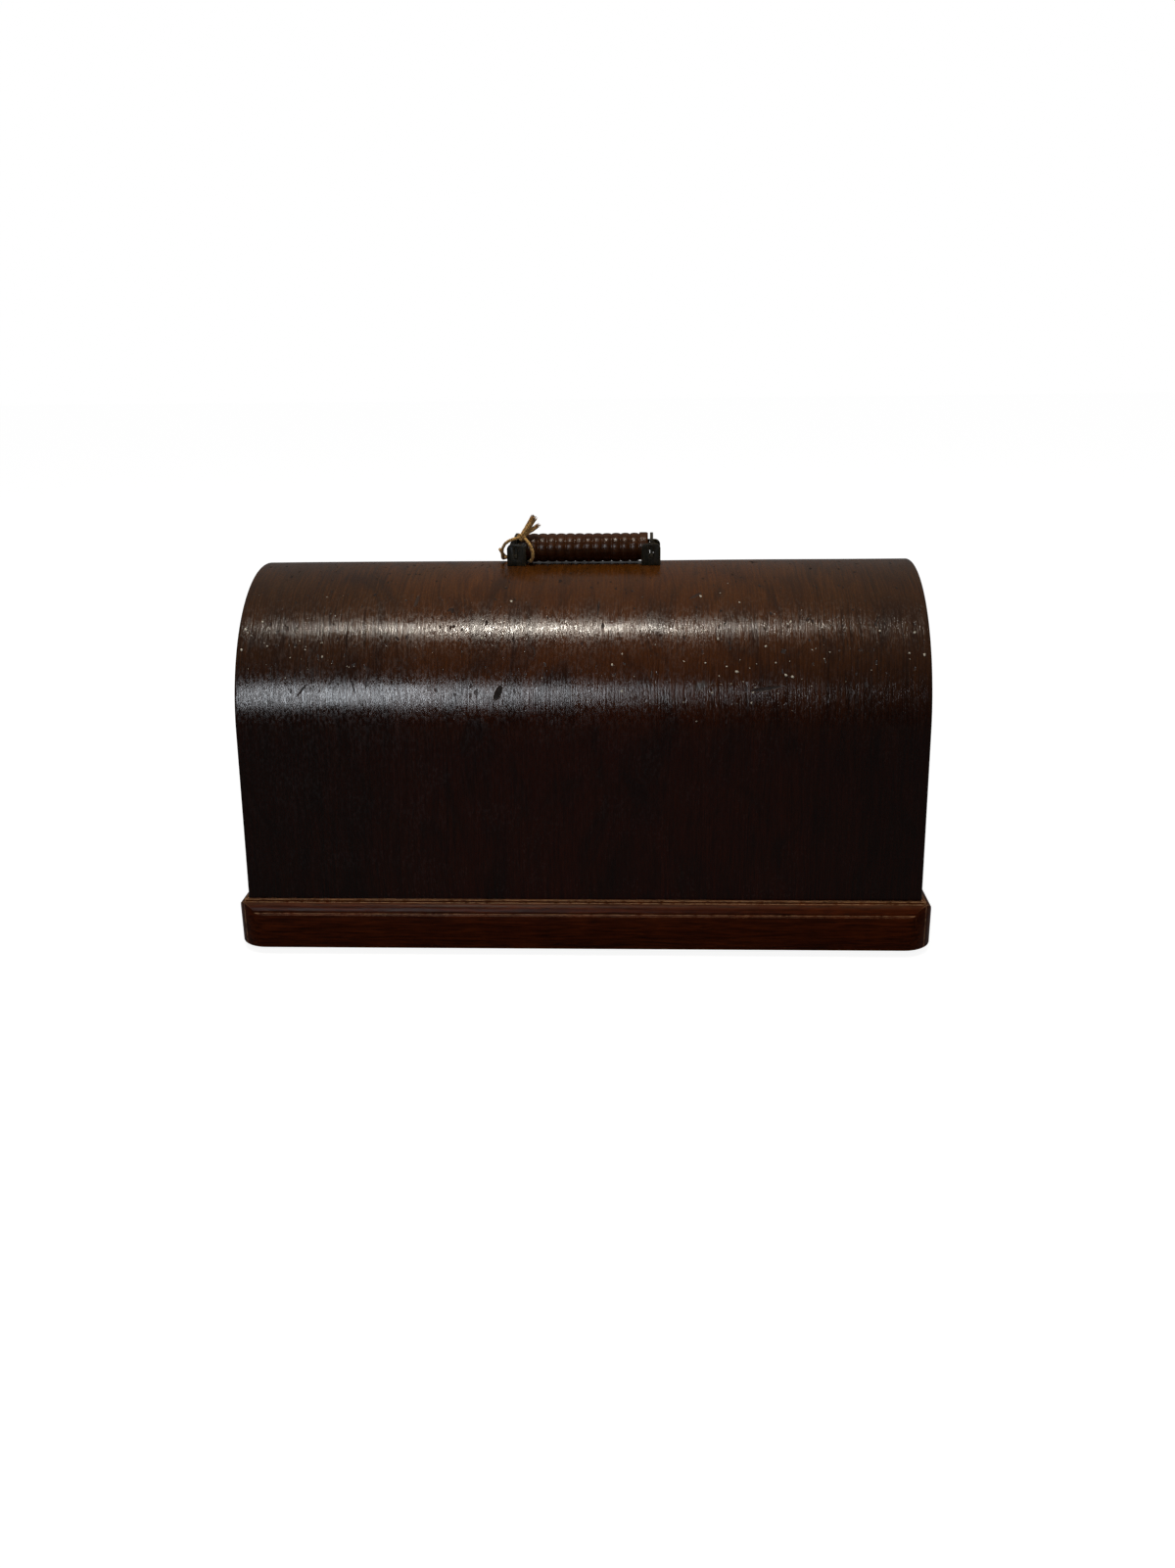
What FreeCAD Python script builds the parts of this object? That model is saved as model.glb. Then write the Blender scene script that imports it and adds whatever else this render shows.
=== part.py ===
import FreeCAD, Part
import math
import os
import re
import Sketcher

# A domed bentwood cover box with a drop handle. Millimetres. X runs along the cover, Y from front to
# back, Z up. The origin is under the middle of the cover, on the surface that its catch tongue stands on.

doc = FreeCAD.newDocument("cover_box")

# Driving sizes
SIZES = {
    "cover_length": 445,
    "cover_width": 222,
    "cover_height": 229,
    "tongue_drop": 5,
    "plinth_height": 22.5,
    "moulding_rise": 8.3,
    "moulding_run": 8,
    "moulding_lip": 0.9,
    "fillet_rise": 1.8,
    "fillet_run": 2,
    "corner_radius": 19,
    "rail_thickness": 14,
    "ledge_height": 6,
    "shell_thickness": 6,
    "arch_inset": 7.2,
    "end_thickness": 12,
    "glue_gap": 0.1,
    "block_leg": 18,
    "block_height": 29,
    "handle_block_length": 112,
    "handle_block_width": 36,
    "handle_block_depth": 12,
    "bracket_spacing": 88,
    "bracket_width": 12.4,
    "bracket_depth": 21.6,
    "bracket_rise": 14,
    "bracket_shoulder": 3.6,
    "bracket_sheet": 1.4,
    "seat_depth": 0.6,
    "slot_width": 2.6,
    "slot_foot": 4.5,
    "slot_height": 7.8,
    "bracket_screw_offset": 5,
    "screw_radius": 1.6,
    "screw_head_radius": 3.1,
    "screw_head_depth": 1.4,
    "screw_length": 16,
    "screw_slot_width": 0.8,
    "screw_slot_depth": 0.6,
    "ear_gap": 0.3,
    "ear_height": 2.2,
    "ear_reach": 1.5,
    "plate_sheet": 2,
    "plate_gap": 0.3,
    "plate_shift": 0.4,
    "plate_rise": 19,
    "plate_foot": 2.6,
    "plate_corner": 4,
    "grip_beads": 14,
    "bead_pitch": 6,
    "grip_radius": 9.1,
    "groove_depth": 1.15,
    "grip_lift": 10.1,
    "rod_radius": 2.5,
    "rod_head_radius": 4,
    "rod_head_height": 1.3,
    "run_gap": 0.05,
    "twine_radius": 0.9,
    "knot_radius": 2.4,
    "lock_inset": 8.5,
    "face_length": 52,
    "face_width": 10,
    "face_thickness": 2,
    "face_screw_spacing": 42,
    "face_screw_length": 12,
    "case_length": 30,
    "case_thickness": 7.6,
    "case_height": 21,
    "case_sheet": 1,
    "hook_thickness": 2.4,
    "hook_length": 18,
    "hook_half": 2.5,
    "hook_beak": 3,
    "pivot_offset": 10,
    "pivot_height": 8,
    "pivot_radius": 1.5,
    "hook_slot_length": 18,
    "hook_slot_width": 3.6,
    "key_height": 14.5,
    "barrel_radius": 3.5,
    "journal_radius": 2.8,
    "barrel_arm": 6.5,
    "barrel_arm_width": 2.4,
    "socket_radius": 1.2,
    "socket_slot": 1.2,
    "socket_drop": 2.3,
    "keyhole_radius": 2.2,
    "keyhole_slot": 2,
    "keyhole_drop": 4.2,
    "escutcheon_width": 9,
    "escutcheon_height": 14,
    "escutcheon_thickness": 1,
    "pin_radius": 0.7,
    "pin_offset": 5.7,
    "pin_length": 4,
    "tongue_width": 12,
    "tongue_sheet": 2.4,
    "tongue_lip": 2,
    "tongue_lip_height": 1.6,
}

sheet = doc.addObject("Spreadsheet::Sheet", "Sizes")
for row, (alias, number) in enumerate(SIZES.items(), 1):
    sheet.set(f"A{row}", alias)
    sheet.set(f"B{row}", str(number))
    sheet.setAlias(f"B{row}", alias)
doc.recompute()

# Heights and distances that follow from the driving sizes, as formulas of the sheet's names
RIM = "tongue_drop"
ARCH_RADIUS = "(cover_width / 2 - moulding_run - arch_inset)"
ARRIS = "(tongue_drop + plinth_height)"
PLINTH_TOP = "(tongue_drop + plinth_height + moulding_rise)"
LEDGE = "(tongue_drop + ledge_height)"
TOP = "(tongue_drop + cover_height)"
ARCH_Z = f"(tongue_drop + cover_height - {ARCH_RADIUS})"
SHELL_X = "(cover_length / 2 - moulding_run)"
SHELL_Y = "(cover_width / 2 - moulding_run)"
SEAT = "(tongue_drop + cover_height - seat_depth)"
BRACKET_X = "(bracket_spacing / 2)"
GRIP_Z = "(tongue_drop + cover_height + grip_lift)"
GRIP_END = "(grip_beads * bead_pitch / 2)"
PLATE_X = "(bracket_spacing / 2 + plate_shift)"
PLATE_HALF = "(bracket_depth / 2 - bracket_sheet - plate_gap)"
EAR_FOOT = "(tongue_drop + cover_height - seat_depth + slot_foot + ear_gap)"
LOCK_X = "(cover_length / 2 - lock_inset)"
CASE_IN = "(cover_length / 2 - lock_inset - case_thickness / 2)"
CASE_FOOT = "(tongue_drop + face_thickness)"
KEY_Z = "(tongue_drop + key_height)"

# The side leans in from the plinth's top until it touches the arch: the outward normal of that lean
BEND = f"(cover_height - {ARCH_RADIUS} - plinth_height - moulding_rise)"
REACH = f"({SHELL_Y} * {SHELL_Y} + {BEND} * {BEND})"
TANGENT = f"sqrt({REACH} - {ARCH_RADIUS} * {ARCH_RADIUS})"
LEAN_Y = f"(({ARCH_RADIUS} * {SHELL_Y} + {TANGENT} * {BEND}) / {REACH})"
LEAN_Z = f"(({TANGENT} * {SHELL_Y} - {ARCH_RADIUS} * {BEND}) / {REACH})"

pieces = []


def bound(formula):
    """A formula with each size's name pointed at its cell."""
    def point(word):
        return "Sizes." + word.group() if word.group() in SIZES else word.group()
    return re.sub(r"[a-z][a-z_]*", point, str(formula))


def value(formula):
    """The number that a formula gives."""
    return float(sheet.evalExpression(bound(formula)))


def bind(item, name, formula):
    """Ties one property of an object to a formula."""
    item.setExpression(name, bound(formula))


def place(item, at, turn=None):
    """Puts an object at three formulas, turned about the axis and angle given."""
    if turn:
        item.Placement.Rotation = FreeCAD.Rotation(FreeCAD.Vector(*turn[0]), turn[1])
    for axis, formula in zip("xyz", at):
        bind(item, "Placement.Base." + axis, formula)
    return item


ALONG_X = ((0, 1, 0), 90)
ALONG_Y = ((1, 0, 0), -90)
DOWN = ((1, 0, 0), 180)


def block(name, size, at):
    """A box with its low corner at a place."""
    item = doc.addObject("Part::Box", name)
    for side, formula in zip(("Length", "Width", "Height"), size):
        bind(item, side, formula)
    return place(item, at)


def rod(name, radius, length, at, turn=None):
    """A round bar that starts at a place."""
    item = doc.addObject("Part::Cylinder", name)
    bind(item, "Radius", radius)
    bind(item, "Height", length)
    return place(item, at, turn)


def cone(name, low, high, length, at, turn=None):
    """A cone between two radii."""
    item = doc.addObject("Part::Cone", name)
    bind(item, "Radius1", low)
    bind(item, "Radius2", high)
    bind(item, "Height", length)
    return place(item, at, turn)


def join(name, items):
    """One solid from several that touch."""
    item = doc.addObject("Part::MultiFuse", name)
    item.Shapes = items
    return item


def cut(name, base, tools):
    """A solid less one tool or several."""
    item = doc.addObject("Part::Cut", name)
    item.Base = base
    item.Tool = tools[0] if len(tools) == 1 else join(name + "_tools", tools)
    return item


def common(name, first, second):
    """What two solids share."""
    item = doc.addObject("Part::Common", name)
    item.Base = first
    item.Tool = second
    return item


def group(name, items):
    """Several separate solids under one name."""
    item = doc.addObject("Part::Compound", name)
    item.Links = items
    return item


def piece(item, label):
    """Makes an object one of the finished sub-parts."""
    item.Label = label
    pieces.append(item)
    return item


def new_body(name):
    """An empty body."""
    return doc.addObject("PartDesign::Body", name)


def new_sketch(body, name, plane, lift="0", shift="0"):
    """A sketch on one of its body's origin planes, moved along the plane's normal and its own Y."""
    item = body.newObject("Sketcher::SketchObject", name)
    support = [face for face in body.Origin.OriginFeatures if face.Role == plane][0]
    item.AttachmentSupport = [(support, "")]
    item.MapMode = "FlatFace"
    bind(item, "AttachmentOffset.Base.z", lift)
    bind(item, "AttachmentOffset.Base.y", shift)
    return item


def outline(sketch, corners):
    """A closed outline. A corner is (x, y), or (x, y, radius, side) where an arc leads to the next."""
    spots = [FreeCAD.Vector(value(corner[0]), value(corner[1]), 0) for corner in corners]
    first = sketch.GeometryCount
    starts = []
    ends = []
    for number, corner in enumerate(corners):
        here = spots[number]
        there = spots[(number + 1) % len(spots)]
        if len(corner) == 2:
            sketch.addGeometry(Part.LineSegment(here, there), False)
            starts.append(1)
            ends.append(2)
            continue
        radius = value(corner[2])
        run = there - here
        across = FreeCAD.Vector(-run.y, run.x, 0) / run.Length * corner[3]
        centre = (here + there) / 2 + across * math.sqrt(max(radius ** 2 - run.Length ** 2 / 4, 0))
        angle_here = math.atan2(here.y - centre.y, here.x - centre.x)
        angle_there = math.atan2(there.y - centre.y, there.x - centre.x)
        circle = Part.Circle(centre, FreeCAD.Vector(0, 0, 1), radius)
        if corner[3] > 0:
            sketch.addGeometry(Part.ArcOfCircle(circle, angle_here, angle_there), False)
            starts.append(1)
            ends.append(2)
        else:
            sketch.addGeometry(Part.ArcOfCircle(circle, angle_there, angle_here), False)
            starts.append(2)
            ends.append(1)
    for number, corner in enumerate(corners):
        after = (number + 1) % len(corners)
        sketch.addConstraint(Sketcher.Constraint(
            "Coincident", first + number, ends[number], first + after, starts[after]))
        for way, formula in (("DistanceX", corner[0]), ("DistanceY", corner[1])):
            row = sketch.addConstraint(Sketcher.Constraint(
                way, -1, 1, first + number, starts[number], value(formula)))
            sketch.setExpression(f"Constraints[{row}]", bound(formula))
        if len(corner) > 2:
            row = sketch.addConstraint(Sketcher.Constraint("Radius", first + number, value(corner[2])))
            sketch.setExpression(f"Constraints[{row}]", bound(corner[2]))


def pad(body, sketch, length):
    """Gives a sketch a thickness along its plane's normal."""
    item = body.newObject("PartDesign::Pad", body.Name + "_pad")
    item.Profile = sketch
    bind(item, "Length", length)
    return item


def arch(thickness, way=1):
    """The corners of one wall line of the arch, this far in from its outside, from ledge to ledge."""
    foot = f"({SHELL_Y} - {thickness})"
    bend = f"({PLINTH_TOP} - {thickness} * {LEAN_Z} / (1 + {LEAN_Y}))"
    radius = f"({ARCH_RADIUS} - {thickness})"
    touch_y = f"({radius} * {LEAN_Y})"
    touch_z = f"({ARCH_Z} + {radius} * {LEAN_Z})"
    right = [(foot, LEDGE), (foot, bend), (touch_y, touch_z)]
    left = [("-" + y, z) for y, z in reversed(right)]
    if way > 0:
        return right[:2] + [(*right[2], radius, 1)] + left
    return [("-" + y, z) for y, z in right[:2]] + [("-" + touch_y, touch_z, radius, -1)] + right[::-1]


def make_arch_body(name, corners, start, length):
    """A pad along X of an outline seen from the end."""
    body = new_body(name)
    sketch = new_sketch(body, name + "_outline", "YZ_Plane", start)
    outline(sketch, corners)
    pad(body, sketch, length)
    return body


def make_rail(name, span, depth, turn):
    """One side of the plinth, mitred at both ends and rounded with its neighbours."""
    face = f"({depth} / 2)"
    half = f"({span} / 2)"
    body = new_body(name)
    profile = new_sketch(body, name + "_profile", "YZ_Plane", "-" + half)
    outline(profile, [
        (f"-{face}", RIM),
        (f"rail_thickness - {face}", RIM),
        (f"rail_thickness - {face}", LEDGE),
        (f"moulding_run - {face}", LEDGE),
        (f"moulding_run - {face}", PLINTH_TOP),
        (f"moulding_run - fillet_run - {face}", PLINTH_TOP),
        (f"moulding_run - fillet_run - {face}", f"({PLINTH_TOP} - fillet_rise)",
         "(moulding_rise - fillet_rise - moulding_lip) * 1.05", 1),
        (f"moulding_lip - {face}", f"({ARRIS} + moulding_lip)"),
        (f"-{face}", ARRIS),
    ])
    pad(body, profile, span)
    doc.recompute()
    before = body.Shape.Volume
    ends = new_sketch(body, name + "_ends", "XY_Plane")
    inner = "(rail_thickness + 1)"
    slant = "corner_radius * (1 - sqrt(0.5))"
    for side in ("", "-"):
        corners = [
            (f"{side}({half} - {inner})", f"{inner} - {face}"),
            (f"{side}({half} - {slant})", f"{slant} - {face}", "corner_radius", -1 if side == "" else 1),
            (f"{side}({half} - corner_radius)", f"-{face}"),
            (f"{side}({half} - corner_radius)", f"-1 - {face}"),
            (f"{side}({half} + 1)", f"-1 - {face}"),
            (f"{side}({half} + 1)", f"{inner} - {face}"),
        ]
        outline(ends, corners)
    pocket = body.newObject("PartDesign::Pocket", name + "_mitres")
    pocket.Profile = ends
    pocket.Reversed = True
    bind(pocket, "Length", f"{PLINTH_TOP} + 1")
    doc.recompute()
    print(name, "mitres took", round(before - body.Shape.Volume), "mm3")
    body.Placement.Rotation = FreeCAD.Rotation(FreeCAD.Vector(0, 0, 1), turn)
    return body


def stadium(name, length, width, thickness, at, grow="0"):
    """A flat bar along Y with round ends, its middle at a place, grown all round by a gap."""
    straight = f"({length} - {width})"
    half = f"({width} / 2 + {grow})"
    tall = f"({thickness} + {grow})"
    middle = block(name + "_bar", (f"2 * {half}", straight, tall),
                   (f"{at[0]} - {half}", f"{at[1]} - {straight} / 2", at[2]))
    ends = [rod(f"{name}_end_{number}", half, tall, (at[0], f"{at[1]} {sign} {straight} / 2", at[2]))
            for number, sign in enumerate("-+")]
    return join(name, [middle] + ends)


def screw(name, length, at, turn=None, up=1):
    """A countersunk screw with a slotted head. at is the middle of its head's face."""
    head = cone(name + "_head", "screw_head_radius", "screw_radius", "screw_head_depth", at,
                DOWN if up > 0 else None)
    shank = rod(name + "_shank", "screw_radius", length, at, DOWN if up > 0 else None)
    deep = f"{at[2]} - screw_slot_depth" if up > 0 else at[2]
    slot = block(name + "_slot", ("2 * screw_head_radius", "screw_slot_width", "screw_slot_depth"),
                 (f"{at[0]} - screw_head_radius", f"{at[1]} - screw_slot_width / 2", deep))
    return cut(name, join(name + "_blank", [head, shank]), [slot])


def screw_hole(name, length, at, up=1):
    """The hole that a countersunk screw fills, with a small gap."""
    head = cone(name + "_head", "screw_head_radius + run_gap", "screw_radius + run_gap",
                "screw_head_depth", at, DOWN if up > 0 else None)
    shank = rod(name + "_shank", "screw_radius + run_gap", f"{length} + run_gap", at,
                DOWN if up > 0 else None)
    return join(name, [head, shank])


# Handle brackets, their screws and where each screw stands
SCREW_SPOTS = [(x, y) for x in ("-", "") for y in ("-", "")]
SCREW_FACE = f"({SEAT} + bracket_sheet)"


def bracket_holes(name):
    """The four bracket screw holes."""
    return [screw_hole(f"{name}_{number}", "screw_length",
                       (f"{x}{BRACKET_X}", f"{y}bracket_screw_offset", SCREW_FACE))
            for number, (x, y) in enumerate(SCREW_SPOTS)]


def make_bracket(name, side):
    """A bent iron bracket: a foot and two slotted cheeks with rounded shoulders."""
    half = "(bracket_width / 2)"
    body = new_body(name + "_blank")
    sketch = new_sketch(body, name + "_outline", "XZ_Plane", "-bracket_depth / 2")
    top = f"({SEAT} + bracket_rise)"
    middle = f"({side}{BRACKET_X})"
    outline(sketch, [
        (f"{middle} - {half}", SEAT),
        (f"{middle} + {half}", SEAT),
        (f"{middle} + {half}", f"{top} - bracket_shoulder", "bracket_shoulder", 1),
        (f"{middle} + {half} - bracket_shoulder", top),
        (f"{middle} - {half} + bracket_shoulder", top, "bracket_shoulder", 1),
        (f"{middle} - {half}", f"{top} - bracket_shoulder"),
    ])
    pad(body, sketch, "bracket_depth")
    inside = block(name + "_inside",
                   ("bracket_width + 2", "bracket_depth - 2 * bracket_sheet", "bracket_rise"),
                   (f"{middle} - {half} - 1", "bracket_sheet - bracket_depth / 2", f"{SEAT} + bracket_sheet"))
    slot = block(name + "_slot", ("slot_width", "bracket_depth + 2", "slot_height"),
                 (f"{middle} + {side}plate_shift - slot_width / 2", "-bracket_depth / 2 - 1",
                  f"{SEAT} + slot_foot"))
    return piece(cut(name, body, [inside, slot] + bracket_holes(name + "_hole")), name)


def make_end_plate(name, side):
    """A thin plate across the grip's end, with an ear for each bracket slot."""
    ear_y = "(bracket_depth / 2 + ear_reach)"
    ear_top = f"({EAR_FOOT} + ear_height)"
    foot = f"({SEAT} + plate_foot)"
    top = f"({SEAT} + plate_rise)"
    start = f"{side}{PLATE_X} - plate_sheet / 2"
    body = new_body(name + "_blank")
    sketch = new_sketch(body, name + "_outline", "YZ_Plane", start)
    right = [(PLATE_HALF, foot), (PLATE_HALF, EAR_FOOT), (ear_y, EAR_FOOT), (ear_y, ear_top),
             (PLATE_HALF, ear_top)]
    left = [("-" + y, z) for y, z in reversed(right)]
    outline(sketch, right + [
        (PLATE_HALF, f"{top} - plate_corner", "plate_corner", 1),
        (f"{PLATE_HALF} - plate_corner", top),
        (f"plate_corner - {PLATE_HALF}", top, "plate_corner", 1),
        ("-" + PLATE_HALF, f"{top} - plate_corner"),
    ] + left)
    pad(body, sketch, "plate_sheet")
    hole = rod(name + "_hole", "rod_radius + run_gap", "plate_sheet + 2",
               (f"{start} - 1", "0", GRIP_Z), ALONG_X)
    return piece(cut(name, body, [hole]), name)


def make_grip():
    """The turned grip: a row of beads on a bored spindle."""
    body = new_body("handle_grip")
    sketch = new_sketch(body, "grip_outline", "XZ_Plane", "0", GRIP_Z)
    bead = "(bead_pitch * bead_pitch / 4 + groove_depth * groove_depth) / (2 * groove_depth)"
    groove = "grip_radius - groove_depth"
    corners = [(f"-{GRIP_END}", "rod_radius + run_gap"), (GRIP_END, "rod_radius + run_gap")]
    count = int(value("grip_beads"))
    corners += [(f"{GRIP_END} - bead_pitch * {number}", groove, bead, 1) for number in range(count)]
    corners += [(f"-{GRIP_END}", groove)]
    outline(sketch, corners)
    turned = body.newObject("PartDesign::Revolution", "grip_turning")
    turned.Profile = sketch
    turned.ReferenceAxis = (sketch, ["H_Axis"])
    turned.Angle = 360
    return piece(body, "handle_grip")


def make_rod():
    """The rod through the grip, with its ends riveted over the end plates."""
    reach = f"({PLATE_X} + plate_sheet / 2)"
    bar = rod("rod_bar", "rod_radius", f"2 * {reach}", (f"-{reach}", "0", GRIP_Z), ALONG_X)
    right = cone("rod_right_head", "rod_head_radius", "rod_head_radius * 0.6", "rod_head_height",
                 (reach, "0", GRIP_Z), ALONG_X)
    left = cone("rod_left_head", "rod_head_radius", "rod_head_radius * 0.6", "rod_head_height",
                ("-" + reach, "0", GRIP_Z), ((0, 1, 0), -90))
    return piece(join("handle_rod", [bar, right, left]), "handle_rod")


# Twine: the route of its loop round the left bracket, and of its two ends, over the cover's top. Each
# point is (along X from the bracket's middle, Y, height over the ridge).
KNOT = (3.7, -8.8, 17.9)
LOOP = [
    (4.8, -9.0, 17.7),
    (8.0, -11.4, 15.2),
    (10.8, -12.0, 9.4),
    (10.6, -11.2, 3.6),
    (8.0, -5.6, 0.95),
    (8.0, 4.6, 0.95),
    (8.8, 12.6, 1.4),
    (-0.8, 14.6, 1.3),
    (-8.8, 12.2, 1.5),
    (-10.6, 3.6, 2.0),
    (-9.6, -5.6, 5.0),
    (-9.4, -11.2, 10.9),
    (-5.4, -13.4, 16.2),
    (2.6, -9.2, 17.8),
]
ENDS = [
    [KNOT, (6.5, -8.4, 22.4), (9.6, -7.4, 26.6), (12.6, -7.2, 31.5)],
    [KNOT, (8.0, -8.0, 20.6), (12.4, -7.2, 23.6), (16.0, -7.0, 26.1)],
]
BEND_SHARE = 0.45


def twine_tube(route):
    """A round tube on straight runs joined by tangent arcs, as large as the runs allow."""
    ridge = FreeCAD.Vector(-value(BRACKET_X), 0, value(TOP))
    spots = [ridge + FreeCAD.Vector(*spot) for spot in route]
    edges = []
    here = spots[0]
    radii = []
    for before, corner, after in zip(spots, spots[1:], spots[2:]):
        back = (before - corner).normalize()
        onward = (after - corner).normalize()
        half_turn = (math.pi - back.getAngle(onward)) / 2
        trim = BEND_SHARE * min((before - corner).Length, (after - corner).Length)
        radii.append(trim / math.tan(half_turn))
        begin = corner + back * trim
        finish = corner + onward * trim
        inward = (back + onward).normalize()
        reach = radii[-1] / math.cos(half_turn) - radii[-1]
        edges += [Part.LineSegment(here, begin).toShape()]
        edges += [Part.Arc(begin, corner + inward * reach, finish).toShape()]
        here = finish
    edges += [Part.LineSegment(here, spots[-1]).toShape()]
    path = Part.Wire(edges)
    ring = Part.Circle(spots[0], spots[1] - spots[0], value("twine_radius"))
    shell = Part.BRepOffsetAPI.MakePipeShell(path)
    shell.add(Part.Wire(ring.toShape()))
    shell.build()
    shell.makeSolid()
    tube = shell.shape()
    share = tube.Volume / (math.pi * value("twine_radius") ** 2 * path.Length)
    print("twine", round(path.Length, 1), "mm, radii", [round(radius, 1) for radius in radii],
          "volume share", round(share, 4))
    return tube


def make_twine():
    """The twine as a loop, two ends and the knot that holds them."""
    loop = doc.addObject("Part::Feature", "twine_loop")
    loop.Shape = twine_tube(LOOP)
    piece(loop, "twine_loop")
    ends = doc.addObject("Part::Feature", "twine_ends")
    ends.Shape = Part.makeCompound([twine_tube(route) for route in ENDS])
    piece(ends, "twine_ends")
    knot = doc.addObject("Part::Sphere", "twine_knot")
    bind(knot, "Radius", "knot_radius")
    place(knot, (f"{KNOT[0]} - {BRACKET_X}", str(KNOT[1]), f"{TOP} + {KNOT[2]}"))
    piece(knot, "twine_knot")


def keyhole(name, depth, grow="0"):
    """A round hole with a slot under it, through a wall that faces X. It starts at the lock case."""
    start = f"({LOCK_X} + case_thickness / 2 - case_sheet - 1)"
    hole = rod(name + "_round", f"keyhole_radius + {grow}", depth, (start, "0", KEY_Z), ALONG_X)
    slot = block(name + "_slot", (depth, "keyhole_slot", "keyhole_drop"),
                 (start, "-keyhole_slot / 2", f"{KEY_Z} - keyhole_drop"))
    return join(name, [hole, slot])


def face_screws(name, x):
    """Two screws that hold a face plate, heads down."""
    return [screw(f"{name}_{number}", "face_screw_length",
                  (x, f"{sign}face_screw_spacing / 2", RIM), up=-1)
            for number, sign in enumerate(("-", ""))]


def face_holes(name, x):
    """The holes for those screws."""
    return [screw_hole(f"{name}_{number}", "face_screw_length",
                       (x, f"{sign}face_screw_spacing / 2", RIM), up=-1)
            for number, sign in enumerate(("-", ""))]


def lock_tools(name):
    """The room that the lock takes out of the wood."""
    case = block(name + "_case", ("case_thickness + 2 * glue_gap", "case_length + 2 * glue_gap",
                                  "case_height + face_thickness + glue_gap"),
                 (f"{CASE_IN} - glue_gap", "-case_length / 2 - glue_gap", RIM))
    passage = keyhole(name + "_keyhole", "lock_inset + case_thickness")
    return [case, passage] + face_holes(name + "_hole", LOCK_X)


def escutcheon(name, grow="0"):
    """The upright plate round the keyhole, flush with the rail's face."""
    half = f"(escutcheon_width / 2 + {grow})"
    straight = "(escutcheon_height - escutcheon_width)"
    deep = f"(escutcheon_thickness + {grow})"
    start = f"(cover_length / 2 - {deep})"
    middle = block(name + "_bar", (deep, f"2 * {half}", straight),
                   (start, f"-{half}", f"{KEY_Z} - {straight} / 2"))
    ends = [rod(f"{name}_end_{number}", half, deep, (start, "0", f"{KEY_Z} {sign} {straight} / 2"), ALONG_X)
            for number, sign in enumerate("-+")]
    return join(name, [middle] + ends)


def pins(name, grow="0"):
    """The two pins of the keyhole plate."""
    return [rod(f"{name}_{number}", f"pin_radius + {grow}", "pin_length",
                ("cover_length / 2 - pin_length", "0", f"{KEY_Z} {sign} pin_offset"), ALONG_X)
            for number, sign in enumerate("-+")]


def make_plinth():
    """The four rails, cut for the lock and the catch."""
    piece(make_rail("front_rail", "cover_length", "cover_width", 0), "front_rail")
    piece(make_rail("back_rail", "cover_length", "cover_width", 180), "back_rail")
    right = make_rail("right_rail_blank", "cover_width", "cover_length", 90)
    face = stadium("lock_face_room", "face_length", "face_width", "face_thickness",
                   (LOCK_X, "0", RIM), "glue_gap")
    tools = lock_tools("right_rail_lock") + [face, escutcheon("escutcheon_room", "glue_gap")]
    tools += pins("right_rail_pin", "run_gap")
    piece(cut("right_rail", right, tools), "right_rail")
    left = make_rail("left_rail_blank", "cover_width", "cover_length", 270)
    catch = stadium("catch_room", "face_length", "face_width", "face_thickness",
                    ("-" + LOCK_X, "0", RIM), "glue_gap")
    piece(cut("left_rail", left, [catch] + face_holes("left_rail_hole", "-" + LOCK_X)), "left_rail")


def make_shell():
    """The arch of bent plywood, with a flat planed for each bracket's foot."""
    blank = make_arch_body("shell_blank", arch("0") + arch("shell_thickness", -1), "-" + SHELL_X,
                           f"2 * {SHELL_X}")
    seats = [block(f"shell_seat_{number}", ("bracket_width", "bracket_depth", "seat_depth + 1"),
                   (f"{side}{BRACKET_X} - bracket_width / 2", "-bracket_depth / 2", SEAT))
             for number, side in enumerate(("-", ""))]
    piece(cut("bentwood_shell", blank, seats + bracket_holes("shell_hole")), "bentwood_shell")


def make_ends():
    """The two flat boards that close the arch."""
    inside = "(shell_thickness + glue_gap)"
    left = make_arch_body("left_end_blank", arch(inside), "-" + SHELL_X, "end_thickness")
    piece(cut("left_end_board", left, face_holes("left_end_hole", "-" + LOCK_X)), "left_end_board")
    right = make_arch_body("right_end_blank", arch(inside), f"{SHELL_X} - end_thickness", "end_thickness")
    piece(cut("right_end_board", right, lock_tools("right_end_lock")), "right_end_board")


def make_corner_blocks():
    """Four three-cornered glue blocks."""
    blocks = []
    for number, (x, y) in enumerate(SCREW_SPOTS):
        body = new_body(f"corner_block_{number}")
        sketch = new_sketch(body, f"corner_block_{number}_outline", "XY_Plane", f"{RIM} + glue_gap")
        corner_x = f"({SHELL_X} - end_thickness)"
        corner_y = f"({SHELL_Y} - shell_thickness)"
        outline(sketch, [
            (f"{x}{corner_x}", f"{y}{corner_y}"),
            (f"{x}({corner_x} - block_leg)", f"{y}{corner_y}"),
            (f"{x}{corner_x}", f"{y}({corner_y} - block_leg)"),
        ])
        pad(body, sketch, "block_height")
        blocks.append(body)
    piece(group("corner_blocks", blocks), "corner_blocks")


def make_handle_block():
    """The block under the ridge that takes the bracket screws."""
    bar = block("handle_block_bar", ("handle_block_length", "handle_block_width", "handle_block_depth"),
                ("-handle_block_length / 2", "-handle_block_width / 2",
                 f"{TOP} - shell_thickness - handle_block_depth"))
    round_top = rod("handle_block_round", f"{ARCH_RADIUS} - shell_thickness - glue_gap", "handle_block_length",
                    ("-handle_block_length / 2", "0", ARCH_Z), ALONG_X)
    shaped = common("handle_block_shaped", bar, round_top)
    piece(cut("handle_block", shaped, bracket_holes("handle_block_hole")), "handle_block")


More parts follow.
